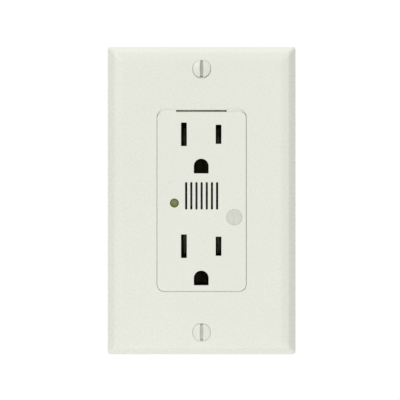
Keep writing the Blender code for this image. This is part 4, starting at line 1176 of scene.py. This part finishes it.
def inner_finishes():
    groups = (
        (BOARD_MASK, "circuit_board"),
        (VARISTOR_RESIN, "varistor_line_neutral", "varistor_line_ground", "varistor_neutral_ground"),
        (BEIGE_RESIN, "thermal_fuse", "lamp_resistor", "bleed_resistor"),
        (FILM_RESIN, "filter_capacitor"),
        (BLACK_RESIN, "reservoir_capacitor", "alarm_driver_chip", "alarm_sounder"),
        (SPACER_NYLON, "pilot_spacer"),
    )
    for finish, *nodes in groups:
        for node in nodes:
            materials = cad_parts[node].data.materials
            materials.clear()
            materials.append(finish)


# Stage


def area_light(name, position, target, size, power, colour=(1, 1, 1)):
    light = bpy.data.lights.new(name, "AREA")
    light.shape, light.size, light.size_y = "RECTANGLE", size[0], size[1]
    light.energy, light.color = power, colour
    made = bpy.data.objects.new(name, light)
    made.location = position
    made.rotation_euler = (Vector(target) - Vector(position)).to_track_quat("-Z", "Y").to_euler()
    bpy.context.scene.collection.objects.link(made)


def surround():
    """White all round: darker at the sides, brighter overhead and behind the wall's plane."""
    world = bpy.data.worlds.new("white_surround")
    bpy.context.scene.world = world
    world.use_nodes = True
    tree = world.node_tree
    background = tree.nodes["Background"]
    heading = new_node(tree, "ShaderNodeTexCoord").outputs["Generated"]
    split = new_node(tree, "ShaderNodeSeparateXYZ", {"Vector": heading}).outputs
    across = new_ramp(tree, split["X"], 0, 1, -1, 1)
    ramp = new_node(tree, "ShaderNodeValToRGB", {"Fac": across})
    stops = [(0.0, 0.48), (0.16, 0.74), (0.32, 1.0), (0.66, 0.98), (0.84, 0.56), (1.0, 0.40)]
    elements = ramp.color_ramp.elements
    for _ in range(len(stops) - 2):
        elements.new(0.5)
    for element, (position, value) in zip(elements, stops):
        warm = max(0.0, position - 0.5) * 0.06
        element.position, element.color = position, (value, value * (1 - warm), value * (1 - warm), 1)
    tree.links.new(ramp.outputs["Color"], background.inputs["Color"])
    behind = new_ramp(tree, split["Y"], 0.865, 1.03, -0.3, 0.6)
    overhead = new_ramp(tree, split["Z"], 0.0, 0.26, 0.1, 1.0)
    total = new_node(tree, "ShaderNodeMath", {0: behind, 1: overhead})
    tree.links.new(total.outputs["Value"], background.inputs["Strength"])


def stage():
    bpy.context.scene.view_settings.view_transform = "Standard"
    pale = Finish("pale_floor", (0.86, 0.86, 0.86), 0.6)
    pale.tint(pale.noise(8, 3), (0.85, 0.85, 0.85), (0.87, 0.87, 0.87))
    bm = bmesh.new()
    bmesh.ops.create_circle(bm, cap_ends=True, radius=520, segments=96)
    bmesh.ops.translate(bm, vec=(0, 0, -190), verts=bm.verts)
    floor = new_object("floor", bm, pale.material)
    surround()
    area_light("key", (-0.34, -0.46, 0.34), (0, 0, 0.02), (0.35, 0.35), 0.72)
    area_light("right_fill", (0.16, -0.16, 0.16), (0.03, 0, 0.05), (0.06, 0.06), 0.05, (1, 0.96, 0.90))
    area_light("low_fill", (0, -0.09, -0.172), (0, 0, -0.05), (0.34, 0.06), 0.048)


def camera():
    """Straight in front, a very little left of and above the middle, as far off as a hand's reach."""
    data = bpy.data.cameras.new("front_camera")
    distance, width = 0.40, 146.8 * MM
    data.sensor_width = 36
    data.lens = 36 * distance / width
    data.clip_start, data.clip_end = 0.01, 20
    made = bpy.data.objects.new("front_camera", data)
    made.location = (-0.0006, cad_low.y - distance + 0.0007, 0.0002)
    made.rotation_euler = (math.pi / 2, 0, 0)
    bpy.context.scene.collection.objects.link(made)
    bpy.context.scene.camera = made


wall_plate()
plate_screws()
face()
blade_guides()
grille_seal()
face_disc()
lamp()
strap()
retainers()
clip()
rivets()
box_screws()
blade_contacts()
ground_contacts()
clamps()
terminal_screws()
ground_screw()
housing()
housing_screws()
inner_finishes()
stage()
camera()
